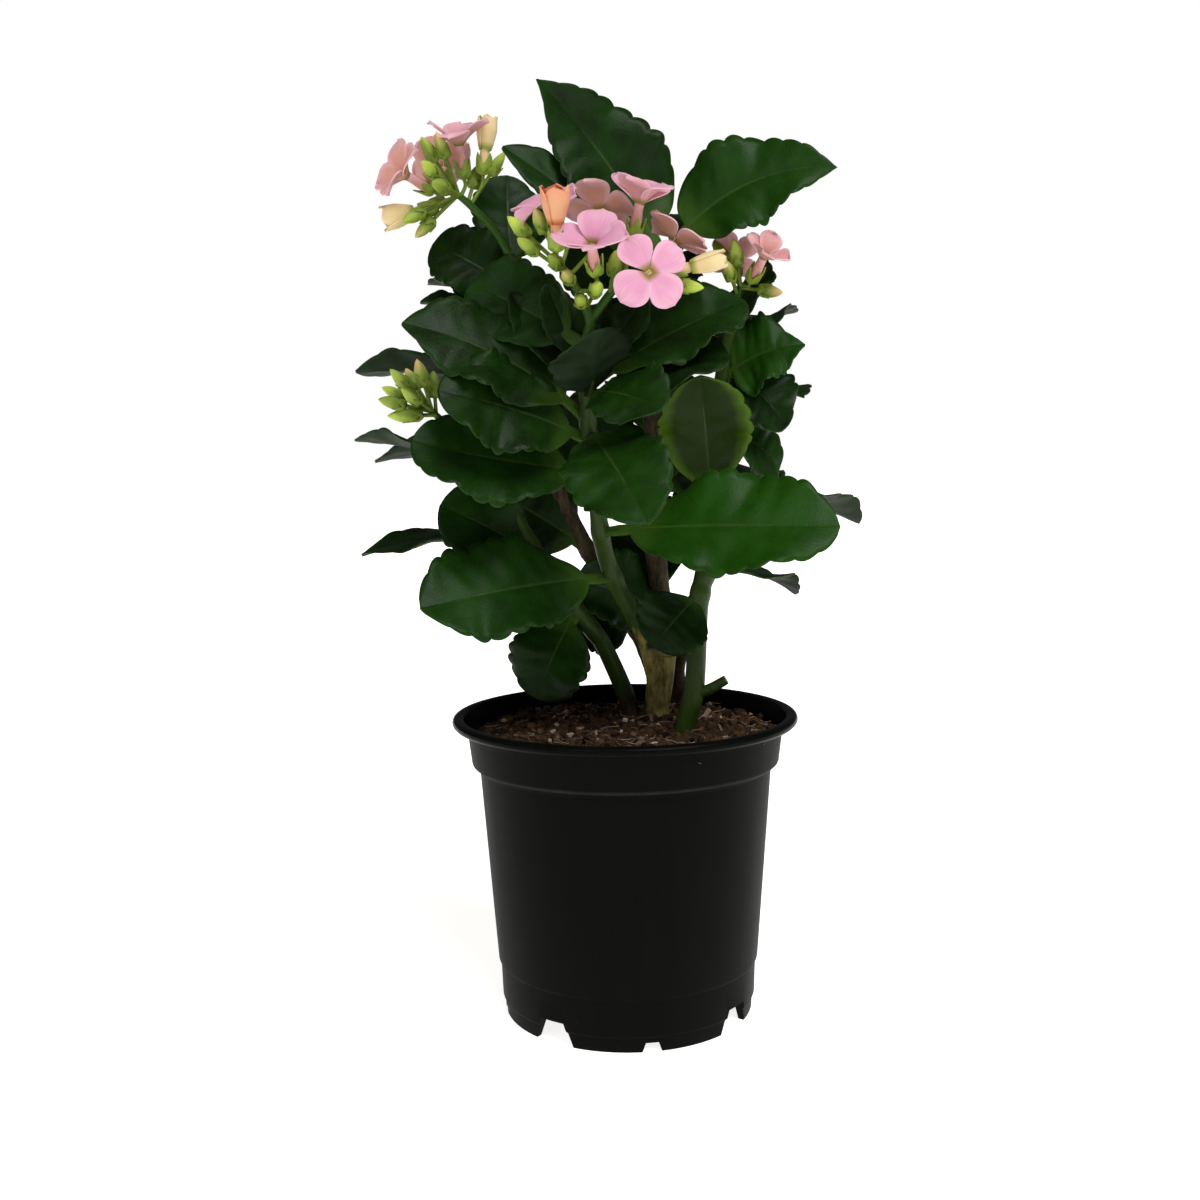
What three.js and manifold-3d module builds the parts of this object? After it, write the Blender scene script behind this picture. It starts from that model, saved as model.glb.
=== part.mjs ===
// A potted flaming katy (Kalanchoe blossfeldiana): a black nursery pot filled with peat, five leafy
// stems with opposite scalloped leaves, and four heads of buds and four-petalled flowers.
// Millimetres. +X is to the right, +Y away from the front and +Z up. The origin is the centre of the
// pot's foot, on the surface that the pot stands on.
import * as THREE from "three";
import { mergeVertices } from "three/addons/utils/BufferGeometryUtils.js";
import Module from "manifold-3d";

const wasm = await Module();
wasm.setup();

// Clear space between two pieces that touch on the real plant.
const GAP = 0.3;

// The pot, from the surface up.
const POT_HEIGHT = 96;
const RIM_RADIUS = 55;
const FOOT_RADIUS = 40;
const WALL = 1.4;
const LIP_WIDTH = 3.8;
const LIP_HEIGHT = 3;
const LIP_OVERHANG = 4.6;
const COLLAR_HEIGHT = 12.5;
const COLLAR_TAPER = 1.4;
const COLLAR_STEP = 2.4;
const COLLAR_FOOT = POT_HEIGHT - LIP_HEIGHT - COLLAR_HEIGHT;
const WALL_TOP = RIM_RADIUS - LIP_OVERHANG - COLLAR_TAPER - COLLAR_STEP;
const FOOT_STEP_HEIGHTS = [5, 17];
const FOOT_STEP = 0.7;
const FLOOR_HEIGHT = 8.5;
const POT_SIDES = 32;
const WIDE_NOTCH = { height: 7.5, bottom: 14.5, top: 8.5, azimuth: -36 };
const SMALL_NOTCH = { height: 3, bottom: 6.4, top: 4, azimuth: 9 };
const NOTCH_PAIRS = 4;
const DRAIN_HOLES = 4;
const DRAIN_RADIUS = 4.5;
const DRAIN_CIRCLE = 24;

// The peat.
const SOIL_LEVEL = 89;
const SOIL_MOUND = 3;
const SOIL_LUMP = 0.9;
const SOIL_SIDES = 20;
const SOIL_RINGS = 5;
const HOLE_DEPTH = 11;

// A leaf: 16 rows from the stem to the tip, or 12 in a small leaf; the first two are the leaf stalk.
// From the scalloped rows on, every odd row ends in a scallop's crown and every even one in a notch.
const LEAF_ROWS = 16;
const SMALL_LEAF_ROWS = 12;
const SMALL_LEAF_WIDTH = 28.5;
const STALK_ROWS = 2;
const FIRST_SCALLOP_ROW = 5;
const STALK_SHARE = 0.16;
const STALK_HALF_WIDTH = 2.1;
const NOTCH_DEPTH = 0.15;
const FOLD = 0.16;
const WAVE = 0.07;
const RIB_THICKNESS = { foot: 2.8, blade: 1.5, tip: 0.9 };

// Flowers and buds.
const CALYX_DEPTH = 3;
const SEPAL_LENGTH = 6.5;
const CALYX_RADIUS = 2.9;
const CALYX_WALL = 0.6;
const TUBE_LENGTH = 10.5;
const TUBE_RADIUS = 1.75;
const THROAT_RADIUS = 1.35;
const PETAL_LENGTH = 11;
const PETAL_WIDTH = 9.4;
const PETAL_THICKNESS = 0.8;
const HALF_OPEN_BELOW = 20;
const BUD_LENGTH = 9;
const BUD_RADIUS = 2.1;
const BUD_SPIN = 65;
const BUD_STALK_BOW = 0.35;
const FLOWER_STALK_RADIUS = 0.6;
const STEM_SIDES = 6;

// The leafy stems. A path is the stem's middle line and a radius for each of its points; it starts in
// the soil with an upright stretch. A leaf leaves the stem at height "from" and ends at "tip"; "face" is
// the way its upper side looks, "arch" is how far its middle stands above the line to its tip and "bow"
// how far it stands aside. "point" goes from 0, blunt and widest past the middle, to 1, pointed.
const STEMS = {
  stem_a_front: {
    path: [
      [11, 12, 80, 4],
      [11, 12, 94, 4],
      [11, 11, 104, 3.6],
      [7, 7, 119, 3],
      [-3, 2, 139, 2.8],
      [-7, -5, 155, 2.7],
      [-8, -10, 173, 2.6],
      [-10, -14, 185, 2.5],
      [-10, -18, 198, 2.3],
      [-10, -19, 212, 1.9],
    ],
    stubs: [
      [
        [11, 12, 97, 4.2],
        [12, 11, 105, 4.4],
        [13, 10, 113, 4.2],
      ],
    ],
    leaves: [
      { from: 139, tip: [-60, -34, 134], width: 35, face: [-1, -8, 5], arch: 3 },
      { from: 154, tip: [63, -34, 156], width: 36, face: [0, -8, 6], arch: 6, bow: 3 },
      { from: 173, tip: [-62, -28, 183], width: 34, face: [0, -8, 6], arch: 3, bow: -4 },
      { from: 184, tip: [6, -65, 159], width: 29, face: [-3, -6, 8], arch: 7 },
      { from: 188, tip: [-64, -26, 217], width: 32, face: [1, -7, 6], arch: 4, bow: 3, point: 0.5 },
      { from: 182, tip: [-53, -36, 197], width: 32, face: [0, -8, 5], arch: 3 },
      { from: 197, tip: [-33, -14, 227], width: 14, face: [5, -7, 5], arch: -2 },
      { from: 195, tip: [-8, -37, 213], width: 25, face: [0, -6, 7], arch: -2 },
      { from: 196, tip: [11, -46, 190], width: 23, face: [1, -8, 4], arch: 3 },
      { from: 198, tip: [38, -14, 223], width: 31, face: [-3, -6, 6], arch: 3 },
      { from: 190, tip: [32, -26, 206], width: 28, face: [0, -5, 7], arch: 4 },
      { from: 203, tip: [-22, -17, 229], width: 12, face: [4, -8, 1], arch: -1 },
      { from: 203, tip: [8, -17, 225], width: 13, face: [-4, -7, 2], arch: -1 },
      { from: 210, tip: [-45, -6, 231], width: 27, face: [0, -9, 3], arch: 2 },
    ],
  },
  stem_b_middle: {
    path: [
      [19, 30, 80, 3.6],
      [19, 30, 94, 3.6],
      [13, 24, 130, 3.4],
      [10, 18, 179, 3],
      [14, 13, 217, 2.5],
      [16, 11, 243, 2],
    ],
    stubs: [
      [
        [18, 29, 98, 2.6],
        [19, 25, 107, 2.2],
        [20, 23, 111, 2],
      ],
    ],
    leaves: [
      { from: 238, tip: [-24, -2, 292], width: 35, face: [2, -9, 2], arch: -4, bow: 5, point: 1 },
      { from: 241, tip: [68, 1, 265], width: 32, face: [-2, -8, 4], arch: 4, bow: -7, point: 0.9 },
      { from: 231, tip: [-35, -2, 272], width: 18, face: [1, -6, 6], arch: 3 },
      { from: 128, tip: [7, 52, 152], width: 25, face: [0, -9, 3], arch: 3 },
      { from: 124, tip: [-15, 15, 137], width: 27, face: [-2, -7, 5], arch: 4 },
      { from: 152, tip: [-6, 52, 172], width: 28, face: [0, -8, 4], arch: 5 },
      { from: 146, tip: [31, 43, 151], width: 30, face: [0, -8, 3], arch: 4 },
      { from: 163, tip: [36, 19, 187], width: 26, face: [-2, -8, 3], arch: 3 },
      { from: 179, tip: [12, 65, 205], width: 30, face: [0, -6, 7], arch: 6 },
      { from: 178, tip: [-22, 2, 187], width: 28, face: [-1, -8, 3], arch: 3 },
      { from: 200, tip: [-18, 54, 228], width: 28, face: [0, -5, 8], arch: 5 },
      { from: 203, tip: [34, 56, 228], width: 27, face: [-1, -4, 8], arch: 5 },
      { from: 217, tip: [14, 56, 248], width: 29, face: [0, -6, 8], arch: 4 },
      { from: 236, tip: [-17, 32, 243], width: 28, face: [0, -9, 3], arch: 3 },
      { from: 238, tip: [44, 36, 264], width: 27, face: [-4, -6, 6], arch: 3 },
    ],
  },
  stem_c_left: {
    path: [
      [2, 16, 80, 3],
      [2, 16, 94, 3],
      [-6, 12, 115, 2.8],
      [-11, 9, 123, 2.6],
      [-26, 5, 145, 2.3],
      [-38, 2, 167, 2],
      [-49, -2, 182, 1.8],
    ],
    stubs: [],
    leaves: [
      { from: 172, tip: [-85, 8, 184], width: 23, face: [0, 1, 9], arch: 3, point: 0.5 },
      { from: 145, tip: [-57, -4, 163], width: 27, face: [1, -8, 4], arch: 3 },
      { from: 150, tip: [-84, 8, 147], width: 23, face: [-1, -2, 9], arch: 4, point: 0.5 },
      { from: 122, tip: [-34, 18, 122], width: 27, face: [-1, -8, 4], arch: 3 },
      { from: 128, tip: [-28, 2, 100], width: 27, face: [-3, -8, 2], arch: 3 },
    ],
  },
  stem_d_right: {
    path: [
      [19, -5, 80, 3.3],
      [19, -5, 92, 3.3],
      [22, -5, 104, 3.2],
      [24, -3, 132, 3],
      [27, -2, 144, 2.9],
      [29, 2, 163, 2.7],
      [31, 6, 185, 2.4],
      [33, 8, 203, 2.2],
      [37, 10, 223, 1.8],
    ],
    stubs: [
      [
        [22, -5, 102, 1.9],
        [27, -6, 104, 1.7],
        [32, -7, 107, 1.5],
      ],
    ],
    leaves: [
      { from: 160, tip: [24, -16, 201], width: 28, face: [-1, -9, 1], arch: -4 },
      { from: 203, tip: [52, 3, 185], width: 25, face: [3, -6, 5], arch: 4 },
      { from: 185, tip: [51, 12, 172], width: 25, face: [0, -6, 6], arch: 4 },
      { from: 201, tip: [58, 0, 211], width: 30, face: [-2, -7, 6], arch: 4, point: 1 },
      { from: 204, tip: [49, 18, 200], width: 23, face: [0, 3, 9], arch: 3 },
      { from: 216, tip: [47, 18, 240], width: 20, face: [-8, -4, 2], arch: -2 },
      { from: 163, tip: [84, 46, 153], width: 26, face: [1, 2, 9], arch: 5, point: 0.5 },
      { from: 140, tip: [58, 20, 131], width: 23, face: [1, -1, 9], arch: 4, point: 0.6 },
      { from: 134, tip: [9, -10, 118], width: 24, face: [-2, -9, 3], arch: 2 },
      { from: 187, tip: [60, 50, 200], width: 27, face: [0, -4, 8], arch: 5 },
      { from: 150, tip: [48, 44, 172], width: 27, face: [-1, -5, 7], arch: 4 },
      { from: 205, tip: [56, 46, 225], width: 26, face: [-3, -3, 9], arch: 4 },
    ],
  },
  stem_e_left: {
    path: [
      [13, 37, 80, 3],
      [13, 37, 94, 3],
      [6, 36, 116, 2.9],
      [-7, 33, 138, 2.8],
      [-20, 28, 165, 2.6],
      [-27, 26, 195, 2.4],
      [-29, 24, 219, 2.2],
      [-35, 19, 243, 1.8],
    ],
    stubs: [],
    leaves: [
      { from: 238, tip: [-36, 34, 271], width: 24, face: [3, -9, 2], arch: -2 },
      { from: 230, tip: [-60, 23, 247], width: 25, face: [0, -8, 4], arch: 3 },
      { from: 217, tip: [-64, 18, 228], width: 20, face: [0, -3, 9], arch: 3 },
      { from: 198, tip: [-85, 14, 206], width: 26, face: [0, 3, 9], arch: 4, point: 0.4 },
      { from: 178, tip: [-83, 34, 177], width: 24, face: [0, 1, 9], arch: 4, point: 0.4 },
      { from: 146, tip: [-44, 24, 168], width: 30, face: [0, -8, 3], arch: 3 },
      { from: 160, tip: [-38, 62, 186], width: 28, face: [0, -5, 8], arch: 5 },
      { from: 190, tip: [-52, 58, 212], width: 28, face: [1, -5, 8], arch: 4 },
      { from: 219, tip: [-62, 48, 238], width: 27, face: [2, -3, 8], arch: 4 },
      { from: 238, tip: [-30, 56, 262], width: 25, face: [0, -6, 7], arch: 3 },
      { from: 118, tip: [-17, 27, 124], width: 24, face: [0, -8, 4], arch: 3 },
    ],
  },
};

// The flower heads. "stalks" are lines with a radius for each point; the first stands on top of its
// stem. A bloom is a corolla in its calyx: "at" is its throat, "faces" the way it looks and "opens" the
// angle of its petals from that way, in degrees. A bud is given by its tip. Every flower and bud has
// a thin stalk of its own from "hub".
const HEADS = {
  head_centre: {
    stem: "stem_a_front",
    stalks: [
      [
        [-9, -20, 218, 1.6],
        [-13, -22, 227, 1.3],
        [-17, -24, 233, 1.1],
      ],
      [
        [-9, -20, 217, 1.4],
        [-3, -21, 225, 1.3],
        [2, -22, 230, 1.1],
      ],
    ],
    blooms: [
      { name: "corolla_front", hub: [2, -22, 229], at: [8, -38, 229], faces: [1, -9, 2],
        opens: 80, spin: 0 },
      { name: "corolla_middle", hub: [-12, -22, 226], at: [-8, -42, 236], faces: [-1, -7, 7],
        opens: 56, spin: 25 },
      { name: "corolla_left", hub: [-17, -24, 233], at: [-21, -25, 250], faces: [-4, -4, 8],
        opens: 70, spin: 0 },
      { name: "corolla_orange", hub: [-17, -24, 233], at: [-18, -40, 245], faces: [0, -3, 9],
        opens: 16, spin: 45 },
      { name: "corolla_rear", hub: [-15, -23, 230], at: [-5, -15, 250], faces: [2, 5, 8],
        opens: 70, spin: 20 },
      { name: "corolla_top", hub: [1, -22, 229], at: [6, -28, 250], faces: [2, -3, 9],
        opens: 46, spin: 10 },
      { name: "corolla_right", hub: [2, -22, 229], at: [16, -22, 240], faces: [5, 1, 8],
        opens: 66, spin: 0 },
      { name: "corolla_cream", hub: [2, -22, 229], at: [23, -30, 232], faces: [9, -1, 2],
        opens: 6, spin: 45 },
    ],
    buds: [
      { hub: [-17, -24, 233], tip: [-32, -33, 246] },
      { hub: [-17, -24, 233], tip: [-24, -39, 247] },
      { hub: [-17, -24, 232], tip: [-29, -38, 239] },
      { hub: [-15, -23, 230], tip: [-20, -40, 234] },
      { hub: [-12, -22, 226], tip: [-16, -42, 229] },
      { hub: [-10, -21, 221], tip: [-6, -41, 226] },
      { hub: [-10, -21, 221], tip: [-12, -40, 222] },
      { hub: [-3, -21, 225], tip: [-1, -33, 236] },
      { hub: [2, -22, 229], tip: [24, -33, 225] },
      { hub: [1, -22, 229], tip: [2, -8, 243] },
    ],
  },
  head_upper_left: {
    stem: "stem_e_left",
    stalks: [
      [
        [-39, 16, 250, 1.3],
        [-46, 12, 257, 1.2],
        [-51, 9, 261, 1],
      ],
    ],
    blooms: [
      { name: "corolla_upper_left", hub: [-51, 9, 261], at: [-65, 3, 265], faces: [-8, -6, 4],
        opens: 46, spin: 10 },
      { name: "corolla_upper_front", hub: [-49, 10, 260], at: [-49, 8, 275], faces: [-1, -2, 9],
        opens: 47, spin: 35 },
      { name: "corolla_upper_cream", hub: [-46, 12, 258], at: [-41, 12, 277], faces: [1, 0, 9],
        opens: 8, spin: 45 },
      { name: "corolla_lower_cream", hub: [-51, 9, 260], at: [-66, 6, 254], faces: [-9, -1, -2],
        opens: 14, spin: 45 },
      { name: "corolla_upper_back", hub: [-48, 11, 259], at: [-56, 24, 271], faces: [-2, 6, 6],
        opens: 52, spin: 20 },
    ],
    buds: [
      { hub: [-51, 9, 261], tip: [-59, -8, 267] },
      { hub: [-51, 9, 261], tip: [-60, 0, 276] },
      { hub: [-50, 9, 261], tip: [-55, -2, 277] },
      { hub: [-46, 12, 258], tip: [-35, 13, 274] },
      { hub: [-50, 9, 260], tip: [-66, -3, 250] },
      { hub: [-50, 9, 260], tip: [-63, 2, 246] },
      { hub: [-49, 10, 260], tip: [-56, -7, 261] },
      { hub: [-47, 11, 258], tip: [-44, 18, 271] },
      { hub: [-49, 10, 260], tip: [-62, 21, 259] },
    ],
  },
  head_left: {
    stem: "stem_c_left",
    stalks: [
      [
        [-53, -4, 187, 1.2],
        [-58, -7, 192, 1],
      ],
    ],
    blooms: [],
    buds: [
      { hub: [-58, -7, 192], tip: [-70, -12, 205] },
      { hub: [-58, -7, 192], tip: [-62, -10, 208] },
      { hub: [-58, -7, 192], tip: [-74, -11, 196] },
      { hub: [-58, -7, 192], tip: [-74, -3, 200] },
      { hub: [-57, -7, 191], tip: [-72, -7, 191] },
      { hub: [-57, -7, 191], tip: [-68, -15, 191] },
      { hub: [-57, -6, 191], tip: [-58, -2, 205] },
      { hub: [-58, -7, 192], tip: [-66, -17, 199] },
      { hub: [-58, -7, 192], tip: [-67, 1, 206] },
    ],
  },
  head_right: {
    stem: "stem_d_right",
    stalks: [
      [
        [38, 10, 227, 1.2],
        [39, 9, 231, 1],
      ],
    ],
    blooms: [
      { name: "corolla_far_right", hub: [39, 9, 231], at: [45, -1, 238], faces: [3, -6, 6],
        opens: 46, spin: 30 },
      { name: "corolla_far_back", hub: [39, 9, 231], at: [38, 23, 241], faces: [0, 7, 6],
        opens: 70, spin: 10 },
    ],
    buds: [
      { hub: [39, 9, 230], tip: [36, 1, 244] },
      { hub: [38, 10, 228], tip: [33, -2, 237] },
      { hub: [39, 9, 230], tip: [51, -1, 227] },
      { hub: [39, 9, 230], tip: [31, 16, 246] },
    ],
  },
};

const PLASTIC = { color: 0x1c1d1b, roughness: 0.5, metalness: 0 };
const PEAT = { color: 0x3a2a1e, roughness: 1, metalness: 0 };
const LEAF = { color: 0x1e4a1a, roughness: 0.45, metalness: 0 };
const BUD_GREEN = { color: 0x8fb04a, roughness: 0.5, metalness: 0 };
const PINK = { color: 0xe99bc0, roughness: 0.6, metalness: 0 };
const CREAM = { color: 0xe6cf97, roughness: 0.6, metalness: 0 };
const ORANGE = { color: 0xe8814f, roughness: 0.6, metalness: 0 };

const vec = (list) => new THREE.Vector3(list[0], list[1], list[2]);

// A closed geometry as a solid to join and cut, with coincident points merged and facing outwards.
function solidOf(geometry) {
  const source = geometry.index ? geometry.toNonIndexed() : geometry;
  const bare = new THREE.BufferGeometry();
  bare.setAttribute("position", source.getAttribute("position"));
  const merged = mergeVertices(bare, 1e-4);
  const triangles = [];
  for (let i = 0; i < merged.index.count; i += 3) {
    const corners = [0, 1, 2].map((k) => merged.index.getX(i + k));
    if (new Set(corners).size === 3) triangles.push(...corners);
  }
  const build = (list) =>
    new wasm.Manifold(
      new wasm.Mesh({
        numProp: 3,
        vertProperties: new Float32Array(merged.getAttribute("position").array),
        triVerts: new Uint32Array(list),
      }),
    );
  const solid = build(triangles);
  return solid.volume() > 0 ? solid : build(triangles.reverse());
}

function geometryOf(solid) {
  const mesh = solid.getMesh();
  const geometry = new THREE.BufferGeometry();
  geometry.setAttribute("position", new THREE.BufferAttribute(mesh.vertProperties, 3));
  geometry.setIndex(new THREE.BufferAttribute(mesh.triVerts, 1));
  geometry.computeVertexNormals();
  return geometry;
}

const joined = (solids) => solids.reduce((all, next) => all.add(next));

function meshOf(name, solid, finish) {
  const mesh = new THREE.Mesh(geometryOf(solid), new THREE.MeshStandardMaterial(finish));
  mesh.name = name;
  return mesh;
}

// A geometry from points (Vector3) and triangles (point numbers).
function shellOf(points, triangles) {
  const geometry = new THREE.BufferGeometry().setFromPoints(points);
  geometry.setIndex(triangles.flat());
  return geometry;
}

// Rings of equally many points, joined one to the next and closed by a fan at both ends.
function loft(rings) {
  const sides = rings[0].length;
  const points = rings.flat();
  const triangles = [];
  for (let r = 0; r + 1 < rings.length; r++) {
    for (let s = 0; s < sides; s++) {
      const a = r * sides + s;
      const b = r * sides + ((s + 1) % sides);
      triangles.push([a, b, b + sides], [a, b + sides, a + sides]);
    }
  }
  const last = (rings.length - 1) * sides;
  for (let s = 1; s + 1 < sides; s++) {
    triangles.push([0, s + 1, s], [last, last + s, last + s + 1]);
  }
  return solidOf(shellOf(points, triangles));
}

// A round stalk along a smooth line through [x, y, z, radius] points.
function stalk(path) {
  const steps = path.length - 1;
  const curve = new THREE.CatmullRomCurve3(path.map(vec), false, "centripetal");
  const frames = curve.computeFrenetFrames(steps, false);
  const rings = path.map(([x, y, z, radius], i) => {
    const ring = [];
    for (let s = 0; s < STEM_SIDES; s++) {
      const turn = (s * 2 * Math.PI) / STEM_SIDES;
      const spot = new THREE.Vector3(x, y, z);
      spot.addScaledVector(frames.normals[i], radius * Math.cos(turn));
      ring.push(spot.addScaledVector(frames.binormals[i], radius * Math.sin(turn)));
    }
    return ring;
  });
  return loft(rings);
}

// The point of a stem's middle line at a height.
function stemPoint({ path }, height) {
  const above = path.findIndex((p) => p[2] >= height);
  const low = path[above - 1];
  const high = path[above];
  return vec(low).lerp(vec(high), (height - low[2]) / (high[2] - low[2]));
}

// The pot's half section, from the floor's middle out under the foot, up the outside, over the lip and
// down the inside.
function potSection() {
  const [lowStep, highStep] = FOOT_STEP_HEIGHTS;
  const outside = [
    [0, FLOOR_HEIGHT],
    [FOOT_RADIUS - 2 * WALL, FLOOR_HEIGHT],
    [FOOT_RADIUS - 1.5 * WALL, 0],
    [FOOT_RADIUS, 0],
    [FOOT_RADIUS + 0.2, lowStep - 0.4],
    [FOOT_RADIUS + 0.2 + FOOT_STEP, lowStep],
    [FOOT_RADIUS + 0.6 + FOOT_STEP, highStep - 0.4],
    [FOOT_RADIUS + 0.6 + 2 * FOOT_STEP, highStep],
    [WALL_TOP, COLLAR_FOOT - 1],
    [WALL_TOP + COLLAR_STEP, COLLAR_FOOT + 0.6],
    [WALL_TOP + COLLAR_STEP + COLLAR_TAPER, POT_HEIGHT - LIP_HEIGHT - 0.4],
    [RIM_RADIUS - 0.9, POT_HEIGHT - LIP_HEIGHT],
    [RIM_RADIUS, POT_HEIGHT - LIP_HEIGHT + 0.9],
    [RIM_RADIUS, POT_HEIGHT - 1],
    [RIM_RADIUS - 1, POT_HEIGHT],
  ];
  const inside = [
    [RIM_RADIUS - LIP_WIDTH + 0.8, POT_HEIGHT],
    [RIM_RADIUS - LIP_WIDTH, POT_HEIGHT - 1],
    [WALL_TOP + COLLAR_STEP - WALL, COLLAR_FOOT + 1.4],
    [WALL_TOP - WALL, COLLAR_FOOT - 0.8],
    [FOOT_RADIUS + 0.6, FLOOR_HEIGHT + 2 * WALL],
    [FOOT_RADIUS - 1, FLOOR_HEIGHT + WALL],
    [0, FLOOR_HEIGHT + WALL],
  ];
  return [...outside, ...inside].map(([r, z]) => new THREE.Vector2(r, z));
}

// A wedge that cuts one notch through the foot ring, seen as a trapezium from outside.
function notchCutter({ height, bottom, top }, azimuth) {
  const below = 1;
  const slope = (bottom - top) / (2 * height);
  const outline = new THREE.Shape([
    new THREE.Vector2(-bottom / 2 - slope * below, -below),
    new THREE.Vector2(bottom / 2 + slope * below, -below),
    new THREE.Vector2(top / 2, height),
    new THREE.Vector2(-top / 2, height),
  ]);
  const reach = 12;
  const cutter = new THREE.ExtrudeGeometry(outline, { depth: reach, bevelEnabled: false });
  cutter.rotateX(Math.PI / 2);
  cutter.translate(0, -FOOT_RADIUS + reach / 2 + 1, 0);
  cutter.rotateZ(THREE.MathUtils.degToRad(azimuth));
  return solidOf(cutter);
}

function makePot() {
  let pot = solidOf(new THREE.LatheGeometry(potSection(), POT_SIDES).rotateX(Math.PI / 2));
  const spacing = 360 / NOTCH_PAIRS;
  for (let i = 0; i < NOTCH_PAIRS; i++) {
    for (const notch of [WIDE_NOTCH, SMALL_NOTCH]) {
      pot = pot.subtract(notchCutter(notch, notch.azimuth + i * spacing));
    }
  }
  for (let i = 0; i < DRAIN_HOLES; i++) {
    const turn = ((i + 0.5) * 2 * Math.PI) / DRAIN_HOLES;
    const drill = new THREE.CylinderGeometry(DRAIN_RADIUS, DRAIN_RADIUS, 4 * WALL, 10).rotateX(Math.PI / 2);
    drill.translate(DRAIN_CIRCLE * Math.cos(turn), DRAIN_CIRCLE * Math.sin(turn), FLOOR_HEIGHT + WALL / 2);
    pot = pot.subtract(solidOf(drill));
  }
  return meshOf("pot", pot, PLASTIC);
}

// The height of the peat's surface: a low mound round the stems, with crumbs and hollows.
function soilHeight(x, y) {
  const stemDistance = Math.hypot(x - 10, y - 14);
  const mound = SOIL_MOUND * Math.exp(-((stemDistance / 26) ** 2));
  const lumps = Math.sin(x * 0.55 + 1.3) * Math.cos(y * 0.61) + 0.8 * Math.sin(x * 0.31 - y * 0.47 + 2);
  return SOIL_LEVEL + mound + SOIL_LUMP * lumps;
}

function makeSoil() {
  const flatness = Math.cos(Math.PI / SOIL_SIDES);
  const wallClear = 2 * GAP + (1 - flatness) * RIM_RADIUS;
  const topRadius = WALL_TOP + COLLAR_STEP - WALL - wallClear + 1;
  const side = [
    [FOOT_RADIUS - 1 - wallClear, FLOOR_HEIGHT + WALL + GAP],
    [FOOT_RADIUS + 0.6 - wallClear, FLOOR_HEIGHT + 2 * WALL + GAP],
    [WALL_TOP - WALL - wallClear, COLLAR_FOOT - 0.8],
    [WALL_TOP + COLLAR_STEP - WALL - wallClear, COLLAR_FOOT + 1.8],
  ];
  const ringAt = (radius, height) => {
    const ring = [];
    for (let s = 0; s < SOIL_SIDES; s++) {
      const turn = ((s + 0.5) * 2 * Math.PI) / SOIL_SIDES;
      const x = radius * Math.cos(turn);
      const y = radius * Math.sin(turn);
      ring.push(new THREE.Vector3(x, y, height ?? soilHeight(x, y)));
    }
    return ring;
  };
  const rings = side.map(([radius, height]) => ringAt(radius, height));
  for (let r = SOIL_RINGS; r > 0; r--) {
    rings.push(ringAt((topRadius * r) / SOIL_RINGS));
  }
  let soil = loft(rings);
  for (const stem of Object.values(STEMS)) {
    const [x, y, , radius] = stem.path[0];
    const bore = new THREE.CylinderGeometry(radius + 3 * GAP, radius + 2 * GAP, 3 * HOLE_DEPTH, 12);
    bore.rotateX(Math.PI / 2).translate(x, y, stem.path[0][2] - GAP + 1.5 * HOLE_DEPTH);
    soil = soil.subtract(solidOf(bore));
  }
  return meshOf("soil", soil, PEAT);
}

// A blade's solid from its edge rows. The upper and lower sides meet along the edge and are thickest on
// the midrib; both are split into triangles alike, with a point on the midrib at every second row.
// "place" turns a row number, a sideways reach and a height above the blade into a point.
function bladeSolid({ rows, edge, thickness, place }) {
  const points = [];
  const put = (...spot) => points.push(place(...spot)) - 1;
  const end = put(rows, 0, 0);
  const edges = [-1, 1].map((sign) => {
    const line = [];
    for (let i = 0; i < rows; i++) line.push(put(i, ...edge(i, sign)));
    return [...line, end];
  });
  const ribs = [-1, 1].map((sign) => {
    const line = [];
    for (let i = 0; i < rows; i += 2) line.push(put(i, 0, (sign * thickness(i)) / 2));
    return [...line, end];
  });
  const triangles = [];
  ribs.forEach((rib, side) => {
    edges.forEach((border, hand) => {
      for (let k = 0; 2 * k < rows; k++) {
        const [a, b, c] = border.slice(2 * k, 2 * k + 3);
        const faces = [
          [rib[k], a, b],
          [rib[k], b, rib[k + 1]],
          [b, c, rib[k + 1]],
        ].filter((face) => new Set(face).size === 3);
        triangles.push(...(side === hand ? faces : faces.map(([p, q, r]) => [p, r, q])));
      }
    });
  });
  triangles.push([ribs[0][0], ribs[1][0], edges[0][0]], [ribs[0][0], edges[1][0], ribs[1][0]]);
  return solidOf(shellOf(points, triangles));
}

// Row i of a leaf: how far along the leaf it is, how wide the blade is there as a share of its full
// width, and how much of the leaf stalk is left. It holds between whole rows too.
function leafRow(i, rows, point) {
  if (i <= STALK_ROWS) {
    return { along: (STALK_SHARE * i) / STALK_ROWS, spread: 0, stalk: 1 };
  }
  const share = Math.min((i - STALK_ROWS) / (rows - STALK_ROWS), 1);
  const [base, tip] = [THREE.MathUtils.lerp(0.9, 0.6, point), THREE.MathUtils.lerp(0.5, 1.05, point)];
  const widest = base / (base + tip);
  const peak = Math.pow(widest, base) * Math.pow(1 - widest, tip);
  const crown = Math.abs(Math.sin((Math.PI * i) / 2));
  const ramp = THREE.MathUtils.clamp((i - FIRST_SCALLOP_ROW + 1) / 2, 0, 1);
  const outline = (Math.pow(share, base) * Math.pow(1 - share, tip)) / peak;
  return {
    along: STALK_SHARE + (1 - STALK_SHARE) * share,
    spread: outline * (1 - NOTCH_DEPTH * ramp * (1 - crown)),
    stalk: 1 - share,
  };
}

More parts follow.
